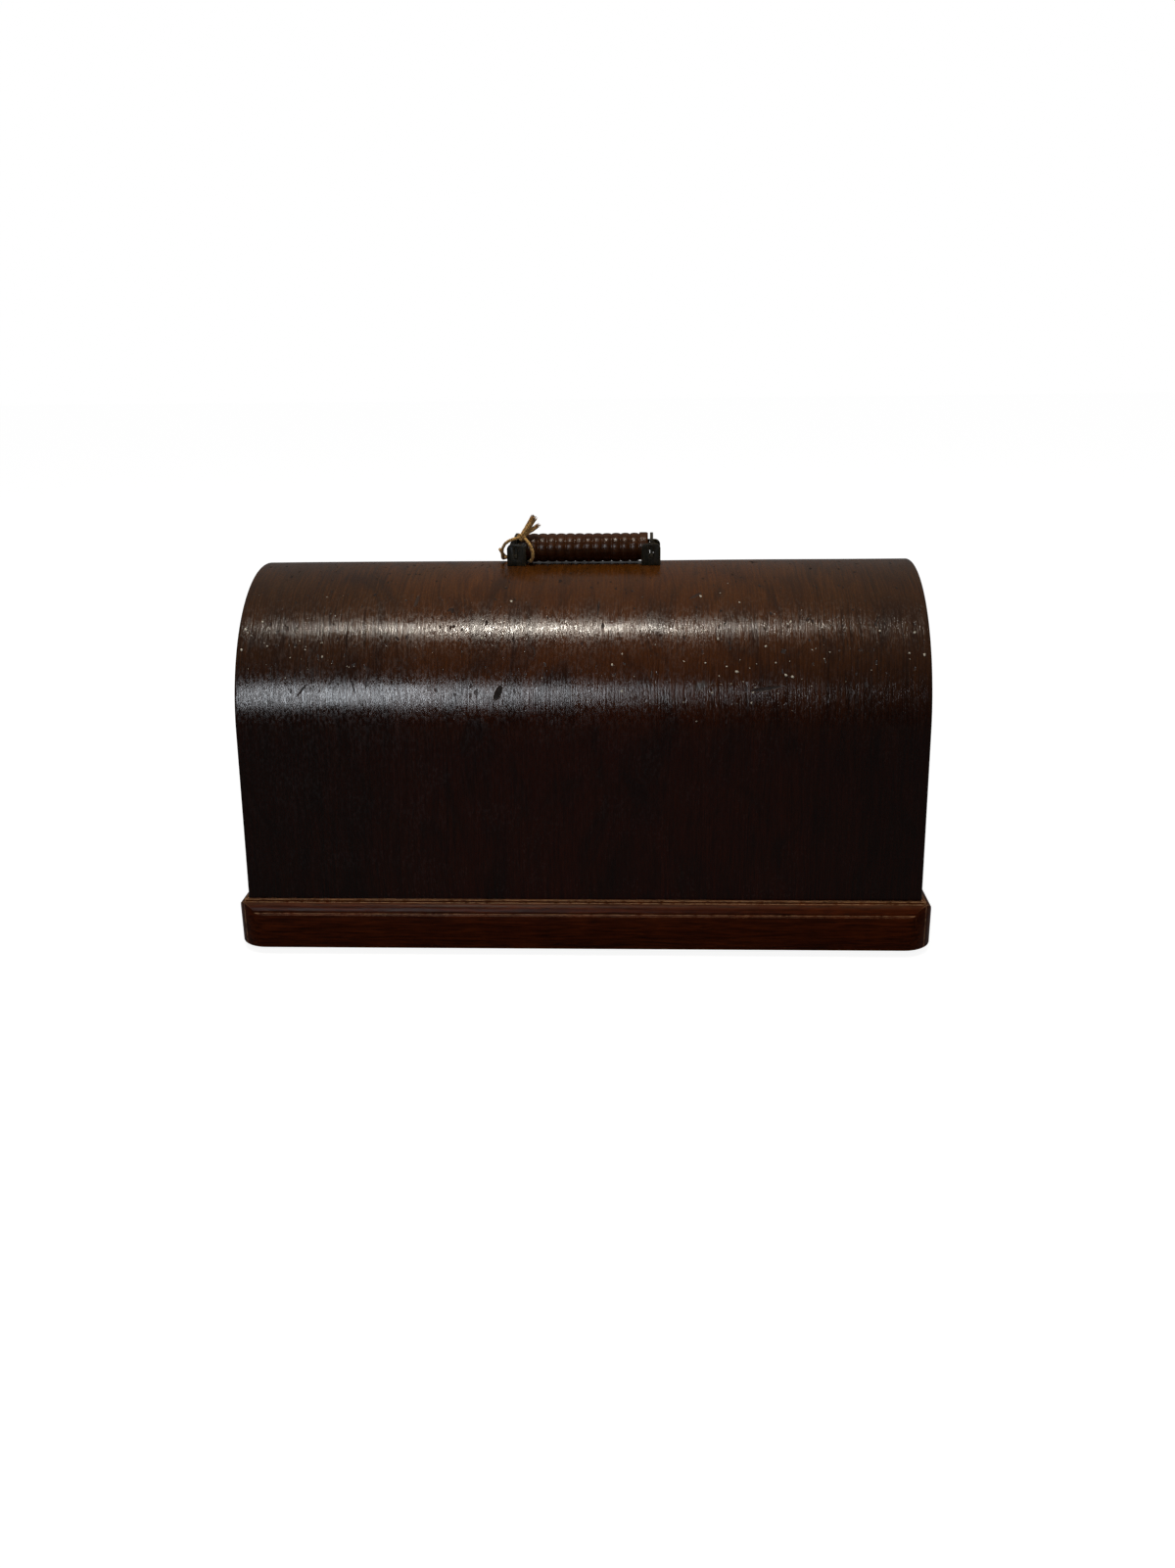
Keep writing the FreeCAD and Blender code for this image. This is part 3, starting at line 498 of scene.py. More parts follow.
def grip_surface(sides=64, steps=12):
    """point(x, v) = radius(x) (cos v, sin v) about the rod. Over a bead, t from 0 to 1, the radius is the
    groove's floor + groove (1 - |2t - 1|^2.3)^0.8, which leaves a tight groove; the bore is a tube."""
    share = np.linspace(0, 1, steps, endpoint=False)
    bulge = (1 - np.abs(2 * share - 1) ** 2.3) ** 0.8
    height = GROOVE + rng.uniform(-UNEVEN_HEIGHT, 0, BEADS)
    starts = np.linspace(-0.5, 0.5, BEADS + 1) * BEADS * BEAD_PITCH
    starts[1:-1] += rng.normal(0, UNEVEN_WIDTH, BEADS - 1)
    x = starts[:-1, None] + np.diff(starts)[:, None] * share
    x = np.concatenate([starts[:1], x.ravel(), starts[-1:], starts[-1:]])
    floor = GRIP_RADIUS - GROOVE
    radius = np.concatenate([[BORE], (floor + height[:, None] * bulge).ravel(), [floor, BORE]])
    free = np.abs(x) < BRACKETS_START
    radius = np.where(free, radius, np.minimum(radius, RADIUS_IN_BRACKET))
    angle = np.linspace(0, 2 * np.pi, sides, endpoint=False)
    out = radius[:, None] * (1 + OUT_OF_ROUND * np.sin(3 * angle + x[:, None] / 9))
    sag = np.where(free & (radius > 2 * BORE), GRIP_SAG, 0)[:, None]
    points = np.stack([np.broadcast_to(x[:, None], out.shape), out * np.cos(angle),
                       GRIP_Z - sag + out * np.sin(angle)], axis=2)
    return points.reshape(-1, 3), sheet_faces(len(x), sides, around=True, across=True)


grip_points, grip_faces = grip_surface()
turn_outwards(make_piece("turned_grip", grip_points, grip_faces, "handle", ["handle_grip"], "grip_wood"))
print("grip points:", len(grip_points))

# %% [markdown]
# A finish is a small network of shader nodes. These helpers add one node at a time and pass sockets on,
# so a finish below reads like a recipe. Colours are written as they look on the object, 0 to 255, and
# are turned into the light values the renderer works in.

# %% helpers for finishes
def shade(red, green, blue):
    """A colour as the eye reads it, made linear: ((c + 0.055) / 1.055) to the power 2.4."""
    values = np.array([red, green, blue]) / 255
    linear = np.where(values <= 0.04045, values / 12.92, ((values + 0.055) / 1.055) ** 2.4)
    return (*linear.tolist(), 1.0)


def feed(made, feeds):
    """Numbers or sockets go into a node's inputs, each by its name or its number."""
    for name, value in feeds.items():
        if isinstance(value, bpy.types.NodeSocket):
            made.id_data.links.new(value, made.inputs[name])
        else:
            made.inputs[name].default_value = value


def add(tree, kind, feeds=None, **settings):
    """One node. settings are its own fields, and feeds go into its inputs."""
    made = tree.nodes.new("ShaderNode" + kind)
    for name, setting in settings.items():
        setattr(made, name, setting)
    feed(made, feeds or {})
    return made


def work_out(tree, operation, first, second=0.0, third=0.0):
    """One step of arithmetic on numbers or sockets."""
    return add(tree, "Math", {0: first, 1: second, 2: third}, operation=operation).outputs[0]


def times(tree, first, second):
    """The product of two numbers or sockets."""
    return work_out(tree, "MULTIPLY", first, second)


def add_share(tree, first, share, second):
    """first times share, added to second."""
    return work_out(tree, "MULTIPLY_ADD", first, share, second)


def move(tree, operation, first, second):
    """One step of arithmetic on places."""
    return add(tree, "VectorMath", {0: first, 1: second}, operation=operation).outputs[0]


def spread(tree, value, low, high, least=0.0, most=1.0, way="SMOOTHSTEP"):
    """Takes low to high of a value to least to most, and holds it there."""
    feeds = {"Value": value, "From Min": low, "From Max": high, "To Min": least, "To Max": most}
    return add(tree, "MapRange", feeds, interpolation_type=way).outputs[0]


def tint(tree, share, first, second, way="MIX"):
    """Two colours put together: share of the second over the first."""
    feeds = {0: share, 6: first, 7: second}
    return add(tree, "Mix", feeds, data_type="RGBA", blend_type=way).outputs[2]


def cloud(tree, place, scale, detail=2.0, rough=0.5, twist=0.0):
    """Noise from 0 to 1 at a scale, in cycles a metre."""
    feeds = {"Vector": place, "Scale": scale, "Detail": detail, "Roughness": rough, "Distortion": twist}
    return add(tree, "TexNoise", feeds).outputs[0]


def shared_effect(name, takes, gives):
    """An empty node group with its inputs and outputs: its tree, its inside inputs and its end node."""
    tree = bpy.data.node_groups.new(name, "ShaderNodeTree")
    for label, kind, start in takes:
        socket = tree.interface.new_socket(label, in_out="INPUT", socket_type="NodeSocket" + kind)
        socket.default_value = start
    for label in gives:
        tree.interface.new_socket(label, in_out="OUTPUT", socket_type="NodeSocketFloat")
    return tree, tree.nodes.new("NodeGroupInput").outputs, tree.nodes.new("NodeGroupOutput")


def use(tree, effect, feeds):
    """A shared effect placed in a finish with its own values."""
    made = tree.nodes.new("ShaderNodeGroup")
    made.node_tree = effect
    feed(made, feeds)
    return made.outputs


print("finish helpers ready")

# %% [markdown]
# Grain is noise drawn out along the tree's length. The same group serves the veneer, the plinth, the
# bare boards and the grip: each gives it a stretch for its own direction. A slow warp bends the lines
# before they are drawn out, as growth does, and short dark dashes are the open pores.

# %% the grain
BAND_SCALE = 0.09
PORE_SCALE = 2.3

grain, taken, end = shared_effect("wood_grain", [
    ("Place", "Vector", (0, 0, 0)), ("Stretch", "Vector", (1, 1, 1)), ("Fine", "Float", 900.0),
    ("Curl", "Float", 0.004), ("Curl scale", "Float", 14.0)], ["Streaks", "Bands", "Pores"])
warp = add(grain, "TexNoise", {"Vector": taken["Place"], "Scale": taken["Curl scale"], "Detail": 2.0})
warp = move(grain, "SUBTRACT", warp.outputs["Color"], (0.5, 0.5, 0.5))
warp = add(grain, "VectorMath", {0: warp, "Scale": taken["Curl"]}, operation="SCALE").outputs[0]
drawn = move(grain, "MULTIPLY", move(grain, "ADD", taken["Place"], warp), taken["Stretch"])
streaks = cloud(grain, drawn, taken["Fine"], 6, 0.62, 0.3)
bands = cloud(grain, drawn, times(grain, taken["Fine"], BAND_SCALE), 3, 0.5, 0.6)
pores = cloud(grain, drawn, times(grain, taken["Fine"], PORE_SCALE), 1, 0.4)
feed(end, {"Streaks": spread(grain, streaks, 0.28, 0.72), "Bands": spread(grain, bands, 0.3, 0.7),
           "Pores": spread(grain, pores, 0.60, 0.72)})

# %% [markdown]
# Handling rubs the finish off every arris. The rounded normal that the Bevel node works out differs
# from the true one only near an edge, so the difference is a mask of the edges, and noise breaks it up.

# %% the edge wear
wear, taken, end = shared_effect("edge_wear", [
    ("Place", "Vector", (0, 0, 0)), ("Width", "Float", 0.001), ("Break-up", "Float", 400.0)], ["Wear"])
rounded = add(wear, "Bevel", {"Radius": taken["Width"]}, samples=6).outputs[0]
true = add(wear, "NewGeometry").outputs["Normal"]
bent = add(wear, "VectorMath", {0: rounded, 1: true}, operation="DOT_PRODUCT").outputs["Value"]
edge = spread(wear, bent, 0.995, 0.86)
chips = spread(wear, cloud(wear, taken["Place"], taken["Break-up"], 4, 0.6), 0.28, 0.60)
feed(end, {"Wear": times(wear, edge, chips)})

# %% [markdown]
# Dust and haze settle on what faces up. The mask is how far the surface looks upwards, with a soft
# cloud over it, and each finish says how much it greys.

# %% the dust
dust, taken, end = shared_effect("dust", [
    ("Place", "Vector", (0, 0, 0)), ("Patches", "Float", 30.0)], ["Dust"])
up = add(dust, "SeparateXYZ", {0: add(dust, "NewGeometry").outputs["Normal"]}).outputs["Z"]
settled = spread(dust, up, 0.55, 1.0)
patches = spread(dust, cloud(dust, taken["Place"], taken["Patches"], 5, 0.65), 0.25, 0.75, 0.35, 1)
feed(end, {"Dust": times(dust, settled, patches)})

# %% [markdown]
# Single marks, such as a dent or a scrape, are ellipses: the place is centred, turned and divided by
# the mark's own size, and what is nearer than 1 belongs to it. Noise makes the outline ragged.

# %% the single marks
mark, taken, end = shared_effect("single_mark", [
    ("Place", "Vector", (0, 0, 0)), ("Centre", "Vector", (0, 0, 0)), ("Turn", "Vector", (0, 0, 0)),
    ("Size", "Vector", (1, 1, 1)), ("Soft", "Float", 0.4), ("Ragged", "Float", 0.3)], ["Mark"])
centred = add(mark, "Mapping", {"Vector": taken["Place"], "Location": taken["Centre"],
                                "Rotation": taken["Turn"], "Scale": taken["Size"]},
              vector_type="TEXTURE").outputs[0]
far = add(mark, "VectorMath", {0: centred}, operation="LENGTH").outputs["Value"]
rag = work_out(mark, "SUBTRACT", cloud(mark, taken["Place"], 700, 3), 0.5)
far = add_share(mark, rag, taken["Ragged"], far)
inner_edge = work_out(mark, "SUBTRACT", 1.0, taken["Soft"])
feed(end, {"Mark": spread(mark, far, 1.0, inner_edge)})
print("shared effects:", [tree.name for tree in bpy.data.node_groups])

# %% [markdown]
# Every finish is one Principled surface fed by those effects. What is the same all over it, such as how
# strongly a varnish mirrors, is set on the surface's own socket.

# %% a new finish
def new_finish(name, **fixed):
    """A material with its surface node, and the object's own coordinates."""
    made = bpy.data.materials.new(name)
    made.use_nodes = True
    tree = made.node_tree
    surface = tree.nodes["Principled BSDF"]
    for label, number in fixed.items():
        surface.inputs[label.replace("_", " ")].default_value = number
    place = add(tree, "TexCoord").outputs["Object"]
    return made, tree, surface, place


def relief(tree, height, depth, under=None):
    """A bump of this depth, in metres, over another normal."""
    feeds = {"Height": height, "Strength": 1.0, "Distance": depth}
    if under is not None:
        feeds["Normal"] = under
    return add(tree, "Bump", feeds).outputs[0]


def coats(tree, colour, *layers):
    """A colour with others laid over it, each a share and a colour as it looks."""
    for share, over in layers:
        colour = tint(tree, share, colour, shade(*over))
    return colour


def dress(finish, *names):
    """Gives nodes of the frame, or new pieces, their finish."""
    for name in names:
        item = nodes.get(name) or bpy.data.objects[name]
        if not item.material_slots:
            item.data.materials.append(finish)
        for slot in item.material_slots:
            slot.material = finish


# %% [markdown]
# The veneer is the face of the object: a reddish brown with fine lines that run round the arch, warmer
# in the middle and grey with haze along the top. Low down it is darker and redder, which is painted
# shade. The lines bend round two faint eyes in the wood. Its varnish has shrunk into the grain, so the
# gloss breaks up into small lights: fine grit in the varnish makes it rough in specks, and the specks
# part the bands of light.

# %% the veneer
EYES = [(51, 220, 14, -0.75), (-66, 230, 18, -0.6)]
LIT_MIDDLE = 0.01
# Heights, in metres, up the front between which the painted shade low down fades out upwards.
PAINTED_SHADE_FULL_UNDER = 0.13
PAINTED_SHADE_GONE_OVER = 0.212
WHITE = (1, 1, 1, 1)

veneer, tree, surface, place = new_finish("old_veneer", Specular_IOR_Level=0.12)
x, y, z = add(tree, "SeparateXYZ", {0: place}).outputs


def eye_in_wood(centre_x, centre_z, size, push):
    """Lines pushed aside round one spot: push (x - centre) exp(-(distance / size) squared)."""
    aside = work_out(tree, "SUBTRACT", x, centre_x * MM)
    over = work_out(tree, "SUBTRACT", z, centre_z * MM)
    square = work_out(tree, "ADD", work_out(tree, "POWER", work_out(tree, "DIVIDE", aside, size * MM), 2),
                      work_out(tree, "POWER", work_out(tree, "DIVIDE", over, 1.6 * size * MM), 2))
    near = work_out(tree, "EXPONENT", times(tree, square, -1))
    on_front = spread(tree, y, 0.0, -0.03)
    return times(tree, times(tree, aside, near), times(tree, on_front, push))


shift = work_out(tree, "ADD", *[eye_in_wood(*eye) for eye in EYES])
bent_place = move(tree, "ADD", place, add(tree, "CombineXYZ", {"X": shift}).outputs[0])
lines = use(tree, grain, {"Place": bent_place, "Stretch": (1, 0.035, 0.035), "Fine": 1050.0,
                          "Curl": 0.008, "Curl scale": 12.0})
figure = cloud(tree, move(tree, "MULTIPLY", place, (1, 0.4, 0.4)), 34, 5, 0.6, 1.6)
# low rises from 0 to 1 between those heights: it sets where the painted shade low down fades out, and keeps
# the pits to the upper part.
low = spread(tree, z, PAINTED_SHADE_FULL_UNDER, PAINTED_SHADE_GONE_OVER)
off_middle = work_out(tree, "ABSOLUTE", work_out(tree, "SUBTRACT", x, LIT_MIDDLE))
warm = spread(tree, off_middle, 0.17, 0.03)
haze = use(tree, dust, {"Place": place, "Patches": 22.0})["Dust"]
brown = coats(tree, tint(tree, lines["Streaks"], shade(34, 13, 1), shade(98, 54, 12)),
              (times(tree, lines["Bands"], 0.4), (82, 44, 12)),
              (times(tree, warm, 0.35), (90, 43, 7)),
              (spread(tree, off_middle, 0.07, 0.21, 0, 0.5), (30, 16, 6)),
              (spread(tree, figure, 0.45, 0.72, 0, 0.75), (38, 17, 5)),
              (times(tree, lines["Pores"], 0.35), (20, 9, 4)))
# Painted shade: the colour is multiplied by a dark red low down, fading out upwards.
brown = tint(tree, 1.0, brown, tint(tree, low, (0.28, 0.11, 0.04, 1), WHITE), "MULTIPLY")
brown = coats(tree, brown, (times(tree, haze, 0.2), (88, 64, 30)))

# %% [markdown]
# Chips and scrapes go through the varnish where they are on the real cover, and one grey smudge lies on
# it. Fine pits are scattered over the upper part, which is the part that has been handled.

# %% the veneer's marks
MARK_REACH = 12
# Each mark's place along x and up z, its lean in degrees, its width and height, and how dark it is
MARKS = [
    (-50, 168, 24, 2.2, 5.6, 0.9),
    (-104, 218, 12, 1.4, 4.0, 0.6),
    (114, 170, 82, 1.2, 11.0, 0.7),
    (72, 220, 70, 0.8, 5.0, 0.6),
    (-172, 170, 40, 0.7, 5.0, 0.55),
    (11, 214, 4, 0.8, 5.5, 0.6),
    (-140, 172, -18, 0.6, 4.4, 0.5),
]


def front_mark(centre_x, centre_z, lean, wide, tall, soft, ragged):
    """An ellipse on the front, its places and sizes in mm, leaning by degrees."""
    centre = (centre_x * MM, shell_front(centre_z) * MM, centre_z * MM)
    return use(tree, mark, {"Place": place, "Centre": centre, "Turn": (0, math.radians(lean), 0),
                            "Size": (wide * MM, MARK_REACH * MM, tall * MM), "Soft": soft,
                            "Ragged": ragged})["Mark"]


tiny = cloud(tree, move(tree, "MULTIPLY", place, (1, 0.55, 0.55)), 330, 1, 0.4)
pits = times(tree, spread(tree, tiny, 0.70, 0.76, 0, 0.8), low)
for *ellipse, dark in MARKS:
    pits = work_out(tree, "MAXIMUM", pits, times(tree, front_mark(*ellipse, 0.35, 0.7), dark))
smudge = front_mark(74, 172, 68.755, 3.5, 6, 0.8, 0.3)
brown = coats(tree, brown, (pits, (16, 9, 7)), (times(tree, smudge, 0.55), (84, 84, 82)))

# %% [markdown]
# The same piece is bare inside, and at its ends it shows the plies that it is glued from. The depth kept
# on its points tells these apart. The roughness and the relief close the recipe.

# %% the veneer's wall, gloss and relief
depth = add(tree, "Attribute", attribute_name="depth").outputs["Fac"]
plies = work_out(tree, "PINGPONG", times(tree, depth, 3.0), 0.5)
end_grain = tint(tree, spread(tree, plies, 0.12, 0.3), shade(38, 22, 14), shade(74, 50, 32))
bare = tint(tree, lines["Streaks"], shade(112, 82, 54), shade(158, 124, 86))
in_wall = times(tree, spread(tree, depth, 0.10, 0.16), spread(tree, depth, 1.0, 0.97))
lined = spread(tree, depth, 0.97, 0.999)
brown = tint(tree, lined, tint(tree, in_wall, brown, end_grain), bare)

grit = cloud(tree, move(tree, "MULTIPLY", place, (1, 0.5, 0.5)), 640, 3, 0.6)
rough = add_share(tree, lines["Streaks"], 0.05, 0.07)
rough = add_share(tree, haze, 0.07, rough)
rough = add_share(tree, spread(tree, cloud(tree, place, 45, 4), 0.4, 0.7), 0.05, rough)
rough = work_out(tree, "MAXIMUM", rough, times(tree, lined, 0.75))
rough = add_share(tree, spread(tree, grit, 0.40, 0.62), 0.15, rough)
rough = add_share(tree, pits, 0.7, rough)
bump = relief(tree, lines["Streaks"], 0.00005)
bump = relief(tree, grit, 0.00008, bump)
bump = relief(tree, times(tree, pits, -1), 0.00025, bump)
feed(surface, {"Base Color": brown, "Roughness": rough, "Normal": bump})
dress(veneer, "bentwood_cover_shell")
print("veneer nodes:", len(tree.nodes))

# %% [markdown]
# The plinth, the end boards, the bare blocks inside and the grip are solid wood. One recipe makes them
# all, with the grain's direction, two colours, the gloss and the wear of each.

# %% the solid woods
COVE_FOOT = 0.0335
COVE_TOP = 0.0350


def wood_finish(name, stretch, dark, light, worn, gloss=0.3, rub=0.8, mirror=0.2, dusty=0.15, sink=WHITE,
                uneven=0.00012):
    """Wood with its grain drawn out along one axis, rubbed lighter at its edges. sink darkens all that
    lies below the top of the cove: the cove and the board under it."""
    made, tree, surface, place = new_finish(name, Specular_IOR_Level=mirror)
    lines = use(tree, grain, {"Place": place, "Stretch": stretch, "Fine": 700.0, "Curl": 0.004,
                              "Curl scale": 16.0})
    mottle = cloud(tree, place, 38, 4, 0.6)
    rubbed = use(tree, wear, {"Place": place, "Width": 0.0012, "Break-up": 300.0})["Wear"]
    film = use(tree, dust, {"Place": place, "Patches": 60.0})["Dust"]
    height = add(tree, "SeparateXYZ", {0: place}).outputs["Z"]
    over_cove = spread(tree, height, COVE_FOOT, COVE_TOP)
    colour = coats(tree, tint(tree, lines["Streaks"], shade(*dark), shade(*light)),
                   (spread(tree, mottle, 0.35, 0.75, 0, 0.5), dark),
                   (times(tree, lines["Pores"], 0.5), (20, 11, 7)))
    colour = tint(tree, 1.0, colour, tint(tree, over_cove, sink, WHITE), "MULTIPLY")
    colour = coats(tree, colour, (times(tree, rubbed, rub), worn), (times(tree, film, dusty), (104, 86, 66)))
    rough = add_share(tree, lines["Streaks"], 0.1, gloss)
    rough = add_share(tree, film, 0.1, add_share(tree, rubbed, 0.15, rough))
    bump = relief(tree, cloud(tree, place, 420, 3), uneven, relief(tree, lines["Streaks"], 0.00006))
    feed(surface, {"Base Color": colour, "Roughness": rough, "Normal": bump})
    return made


ALONG_X = (0.05, 1, 1)
ALONG_Y = (1, 0.05, 1)
ALONG_Z = (1, 1, 0.05)
WALNUT = {"dark": (56, 26, 8), "light": (108, 56, 20), "worn": (206, 156, 114), "rub": 1.2,
          "mirror": 0.03, "dusty": 0.3, "sink": (0.72, 0.47, 0.27, 1)}
plinth_long = wood_finish("plinth_walnut_long", ALONG_X, **WALNUT)
plinth_short = wood_finish("plinth_walnut_short", ALONG_Y, **WALNUT)
end_wood = wood_finish("end_board_walnut", ALONG_Z, (46, 22, 8), (86, 48, 19), (104, 72, 44))
raw_wood = wood_finish("bare_wood", ALONG_X, (116, 84, 54), (166, 128, 86), (178, 146, 106), gloss=0.65,
                       mirror=0.15)
grip_wood = wood_finish("turned_grip_wood", ALONG_X, (50, 25, 8), (88, 48, 18), (92, 56, 28), gloss=0.2,
                        rub=0.2, mirror=0.07, dusty=0.05, uneven=0.00003)
dress(plinth_long, "plinth_front_rail", "plinth_back_rail")
dress(plinth_short, "plinth_left_rail", "plinth_right_rail")
dress(grip_wood, "turned_grip")
print("woods:", [wood.name for wood in (plinth_long, plinth_short, end_wood, raw_wood, grip_wood)])

# %% [markdown]
# Three metals: iron under old black japan, rubbed brown at its edges, a dull steel, and brass gone dark.
# One recipe again: a coat, what shows through where it is rubbed, and small spots of rust or tarnish.

# %% the metals
def metal_finish(name, coat, under, spots, metallic, gloss, rub=1.0, mirror=0.5):
    """Metal with a worn coat: under shows at the edges, spots lie in the hollows of a noise."""
    made, tree, surface, place = new_finish(name, Specular_IOR_Level=mirror)
    rubbed = times(tree, use(tree, wear, {"Place": place, "Width": 0.0009, "Break-up": 700.0})["Wear"], rub)
    blotch = spread(tree, cloud(tree, place, 260, 5, 0.65), 0.46, 0.66)
    scratches = cloud(tree, move(tree, "MULTIPLY", place, (1, 1, 0.06)), 1900, 3, 0.6)
    film = use(tree, dust, {"Place": place, "Patches": 160.0})["Dust"]
    colour = coats(tree, shade(*coat), (times(tree, blotch, 0.6), spots),
                   (spread(tree, scratches, 0.5, 0.75, 0, 0.35), under), (rubbed, under),
                   (times(tree, film, 0.2), (96, 84, 66)))
    bright = times(tree, add_share(tree, blotch, -0.4, 1), metallic)
    rough = add_share(tree, scratches, 0.12, add_share(tree, blotch, 0.25, gloss))
    bump = relief(tree, cloud(tree, place, 900, 4, 0.6), 0.00006)
    bump = relief(tree, times(tree, blotch, -1), 0.00004, bump)
    feed(surface, {"Base Color": colour, "Metallic": bright, "Roughness": rough, "Normal": bump})
    return made


black_iron = metal_finish("japanned_iron", (30, 26, 14), (104, 86, 58), (46, 33, 17), 0.0, 0.3, rub=0.8,
                          mirror=0.06)
steel = metal_finish("dull_steel", (50, 45, 35), (70, 62, 50), (40, 30, 20), 0.12, 0.64, rub=0.4,
                     mirror=0.08)
brass = metal_finish("dark_brass", (112, 84, 44), (176, 138, 76), (60, 44, 26), 0.7, 0.42)
dress(black_iron, "iron_left_bracket", "iron_right_bracket")
dress(steel, "steel_left_end_plate", "steel_right_end_plate")
print("metals:", black_iron.name, steel.name, brass.name)

# %% [markdown]
# The twine is jute gone tan. Light gets lost between its fibres, so it has no gloss, only a soft sheen
# at its edges, and its colour shifts from fibre to fibre.

# %% the twine's fibre
tan_twine, tree, surface, place = new_finish("tan_twine", Specular_IOR_Level=0.15, Sheen_Weight=0.35,
                                             Sheen_Roughness=0.5, Roughness=0.85)
fibre = cloud(tree, place, 1500, 4, 0.7)
patch = spread(tree, cloud(tree, place, 130, 3, 0.6), 0.45, 0.75, 0, 0.6)
tan = coats(tree, tint(tree, fibre, shade(184, 134, 62), shade(250, 204, 124)), (patch, (132, 100, 50)))
feed(surface, {"Base Color": tan, "Normal": relief(tree, fibre, 0.0001)})
dress(tan_twine, *[piece.name for piece in (twine_round, twine_stray, twine_frayed, twine_knot)])

# %% [markdown]
# The rest of the frame's nodes are shown as they are: blocks, boards, screws and the lock. Each has a
# slot that names what it is made of, and takes the finish of that name.

# %% the rest of the frame's nodes
SLOT_FINISH = {"black_iron": black_iron, "steel": steel, "brass": brass, "raw_wood": raw_wood,
               "end_wood": end_wood}
shown = [name for name, item in nodes.items() if not item.hide_render]
for name in shown:
    dress(SLOT_FINISH[nodes[name].material_slots[0].material.name], name)
dress(black_iron, "handle_rod")
print("frame nodes shown:", {name: nodes[name].material_slots[0].material.name for name in shown})

# %% [markdown]
# Drops of old paint are spattered over the front. Each is a low dome that sits on the surface, so it is
# geometry and not a pattern. The larger ones are where they are on the real cover, and finer ones are
# scattered round them.

# %% the paint drops
DROPS = [(85, 198), (77, 185), (90, 183), (96, 180), (120, 185), (126, 178), (130, 177), (114, 194),
         (128, 206), (130, 207), (26, 190), (20, 184), (26, 169), (81, 168), (105, 162), (106, 168),
         (184, 202), (205, 201), (201, 190), (210, 189), (75, 220), (99, 217), (-200, 208), (-210, 204),
         (-195, 195), (-211, 193), (-171, 193), (-160, 189), (-61, 199), (-44, 218)]
DROP_SIZES = (0.55, 0.95)
# How many fine drops, their middle and spread along x and up z, and their sizes
SPATTERS = [(46, (105, 34), (184, 16), (0.22, 0.45)), (22, (-178, 26), (196, 14), (0.2, 0.4))]
SPATTER_END = 206
SPATTER_TOP = 226
# The height and the width of a drop's rings, and its top and underside, as shares of its size
DROP_RINGS = ((-0.3, 1.0), (0.12, 0.96), (0.33, 0.6))
DROP_TOP = 0.4
DROP_UNDER = 0.3


def dome(centre, out, size, sides=8):
    """A low round drop: rings of points round the way out, closed by a point on top and one under it.
    Two waves round it keep it from being a true circle."""
    side = np.cross(out, (1.0, 0, 0))
    side /= np.linalg.norm(side)
    over = np.cross(out, side)
    angle = np.linspace(0, 2 * np.pi, sides, endpoint=False)
    blob = 1 + 0.18 * np.sin(2 * angle + rng.uniform(0, 6)) + 0.1 * np.sin(3 * angle + rng.uniform(0, 6))
    ring = (np.cos(angle) * blob)[:, None] * side + (np.sin(angle) * blob)[:, None] * over
    rings = [centre + size * (ring * wide + height * out) for height, wide in DROP_RINGS]
    points = np.concatenate([*rings, [centre + size * DROP_TOP * out], [centre - size * DROP_UNDER * out]])
    faces = sheet_faces(len(rings), sides, around=True).tolist()
    top = len(rings) * sides
    last = top - sides
    faces += [(last + number, last + (number + 1) % sides, top) for number in range(sides)]
    faces += [(top + 1, (number + 1) % sides, number) for number in range(sides)]
    return points, faces


def on_shell(x, z):
    """A place on the front of the shell, and the way it faces there."""
    slope = shell_front(z + 0.5) - shell_front(z - 0.5)
    here = float(np.interp(z, FRONT_HALF[:, 1], SHELL_RUN[:len(FRONT_HALF)]))
    out = np.array([0, -1, slope])
    out /= np.linalg.norm(out)
    return np.array([x, shell_front(z), z]) - out * shell_wave(x, here), out


drops = [dome(*on_shell(x, z), rng.uniform(*DROP_SIZES)) for x, z in DROPS]
for count, along, upright, sizes in SPATTERS:
    for _ in range(count):
        x, z = rng.normal(*along), rng.normal(*upright)
        spot = on_shell(max(-SPATTER_END, min(x, SPATTER_END)), min(z, SPATTER_TOP))
        drops.append(dome(*spot, rng.uniform(*sizes)))
turn_outwards(make_piece("paint_drops", *gather(drops), "cover"))
paint, tree, surface, place = new_finish("old_paint", Specular_IOR_Level=0.3, Roughness=0.55)
speckle = cloud(tree, place, 600, 2)
feed(surface, {"Base Color": tint(tree, speckle, shade(176, 164, 142), shade(232, 226, 210))})
dress(paint, "paint_drops")
print("drops:", len(drops))

# %% [markdown]
# The studio is plain: a pale floor, a pale surround and five lamps. One lights only the dull share of
# every surface, from high in front. The others are seen only in the gloss: two warm ones high up make
# the upper band on the arch, and two cool ones low at the front left make the lower band. The camera
# sees the floor and the surround as white. A mirror sees them at a fraction of that, because varnish
# that mirrors a white room loses its depth. The light that they throw is modest too.

# %% the studio
FLOOR_REACH = 9
FLOOR_GREY = (0.28, 0.28, 0.28, 1)
FLOOR_GLOW = 0.91
MIRRORED = 0.12
LIGHT_FROM_SIDE = 0.05
LIGHT_FROM_TOP = 0.75

stage_mesh = bpy.data.meshes.new("floor")
corners = [(-1, -1), (1, -1), (1, 1), (-1, 1)]
stage_mesh.from_pydata([(FLOOR_REACH * x, FLOOR_REACH * y, 0) for x, y in corners], [], [(0, 1, 2, 3)])
floor = bpy.data.objects.new("floor", stage_mesh)
bpy.context.scene.collection.objects.link(floor)


def seen_directly(tree):
    """1 for a ray from the camera or through glass, less for one from a mirror, else 0."""
    ray = add(tree, "LightPath").outputs
    seen = work_out(tree, "MAXIMUM", ray["Is Camera Ray"], ray["Is Transmission Ray"])
    return work_out(tree, "MAXIMUM", seen, times(tree, ray["Is Glossy Ray"], MIRRORED))


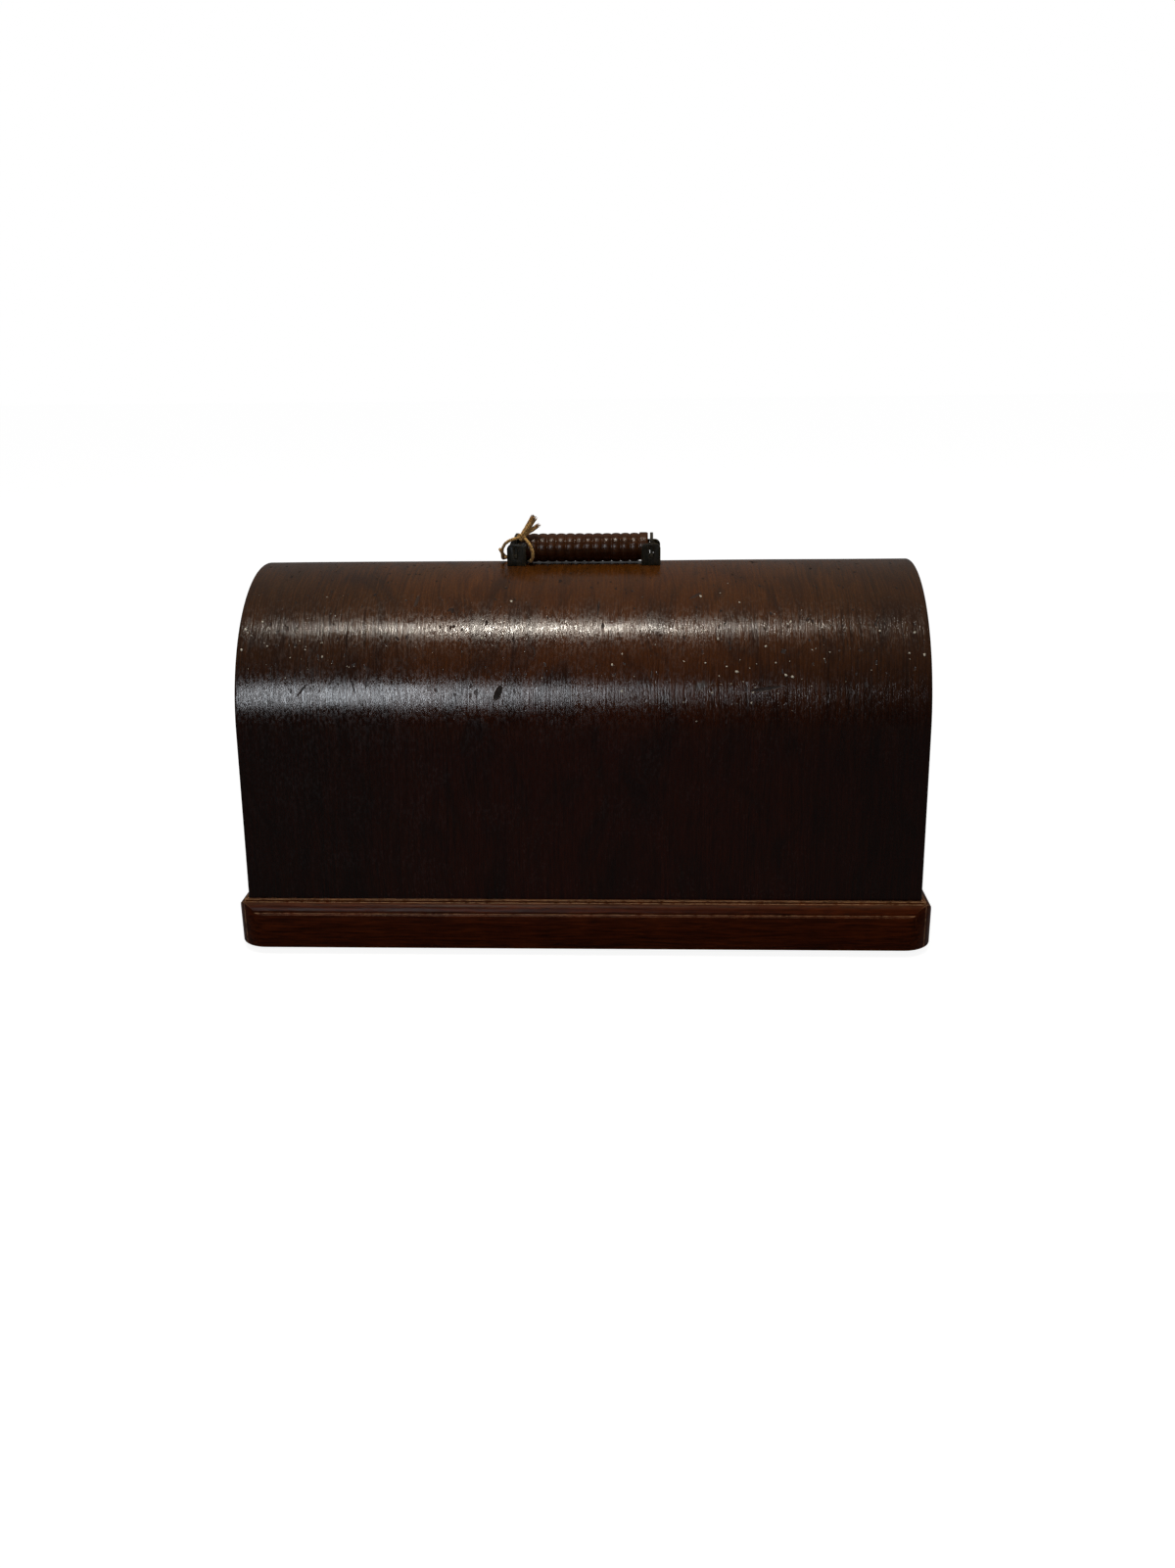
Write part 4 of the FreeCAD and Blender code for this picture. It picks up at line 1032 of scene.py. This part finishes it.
floor_finish = bpy.data.materials.new("pale_floor")
floor_finish.use_nodes = True
tree = floor_finish.node_tree
tree.nodes.remove(tree.nodes["Principled BSDF"])
lit = add(tree, "BsdfDiffuse", {"Color": FLOOR_GREY}).outputs[0]
glow = add(tree, "Emission", {"Color": WHITE, "Strength": times(tree, seen_directly(tree), FLOOR_GLOW)})
both = add(tree, "AddShader", {0: lit, 1: glow.outputs[0]}).outputs[0]
feed(tree.nodes["Material Output"], {"Surface": both})
stage_mesh.materials.append(floor_finish)

world = bpy.data.worlds.new("surround")
bpy.context.scene.world = world
world.use_nodes = True
tree = world.node_tree
height = add(tree, "SeparateXYZ", {0: add(tree, "TexCoord").outputs["Generated"]}).outputs["Z"]
sky = spread(tree, height, 0.0, 1.0, LIGHT_FROM_SIDE, LIGHT_FROM_TOP, "LINEAR")
sky = work_out(tree, "POWER", sky, 2)
strength = add(tree, "Mix", {0: seen_directly(tree), 2: sky, 3: 1.0}).outputs[0]
feed(tree.nodes["Background"], {"Color": WHITE, "Strength": strength})

# %% the lamps
LAMPS_FACE = (0, -0.05, 0.19)
WARM = (1.0, 0.93, 0.82)
COOL = (0.88, 0.94, 1.0)
HIGH_AWAY = 2.3
LOW_AWAY = 2.5


def lamp(name, azimuth, elevation, away, size, power, colour, lights):
    """An area lamp seen from the middle of the arch in that direction, azimuth 0 in front, positive to
    the right, facing the arch. It lights only the gloss or only the dull of what it shines on."""
    heading = Matrix.Rotation(math.radians(azimuth), 4, "Z") @ Matrix.Rotation(
        math.radians(90 - elevation), 4, "X")
    data = bpy.data.lights.new(name, "AREA")
    data.shape = "RECTANGLE"
    data.size, data.size_y = size
    data.energy = power
    data.color = colour
    item = bpy.data.objects.new(name, data)
    item.matrix_world = Matrix.Translation(LAMPS_FACE) @ heading @ Matrix.Translation((0, 0, away))
    item.visible_diffuse = lights == "dull"
    item.visible_glossy = lights == "gloss"
    bpy.context.scene.collection.objects.link(item)


lamp("high_soft_box", -8, 78, HIGH_AWAY, (0.9, 0.6), 20, WARM, "dull")
lamp("warm_lamp", -19.5, 73.7, HIGH_AWAY, (0.14, 0.12), 56, WARM, "gloss")
lamp("warm_reach", -27, 73.4, HIGH_AWAY, (0.8, 0.12), 4.5, WARM, "gloss")
lamp("cool_box", -18, 18.5, LOW_AWAY, (0.32, 0.64), 54, COOL, "gloss")
lamp("cool_strip", -9.8, 21.3, LOW_AWAY, (0.24, 0.3), 8.5, COOL, "gloss")
bpy.context.scene.view_settings.view_transform = "Standard"
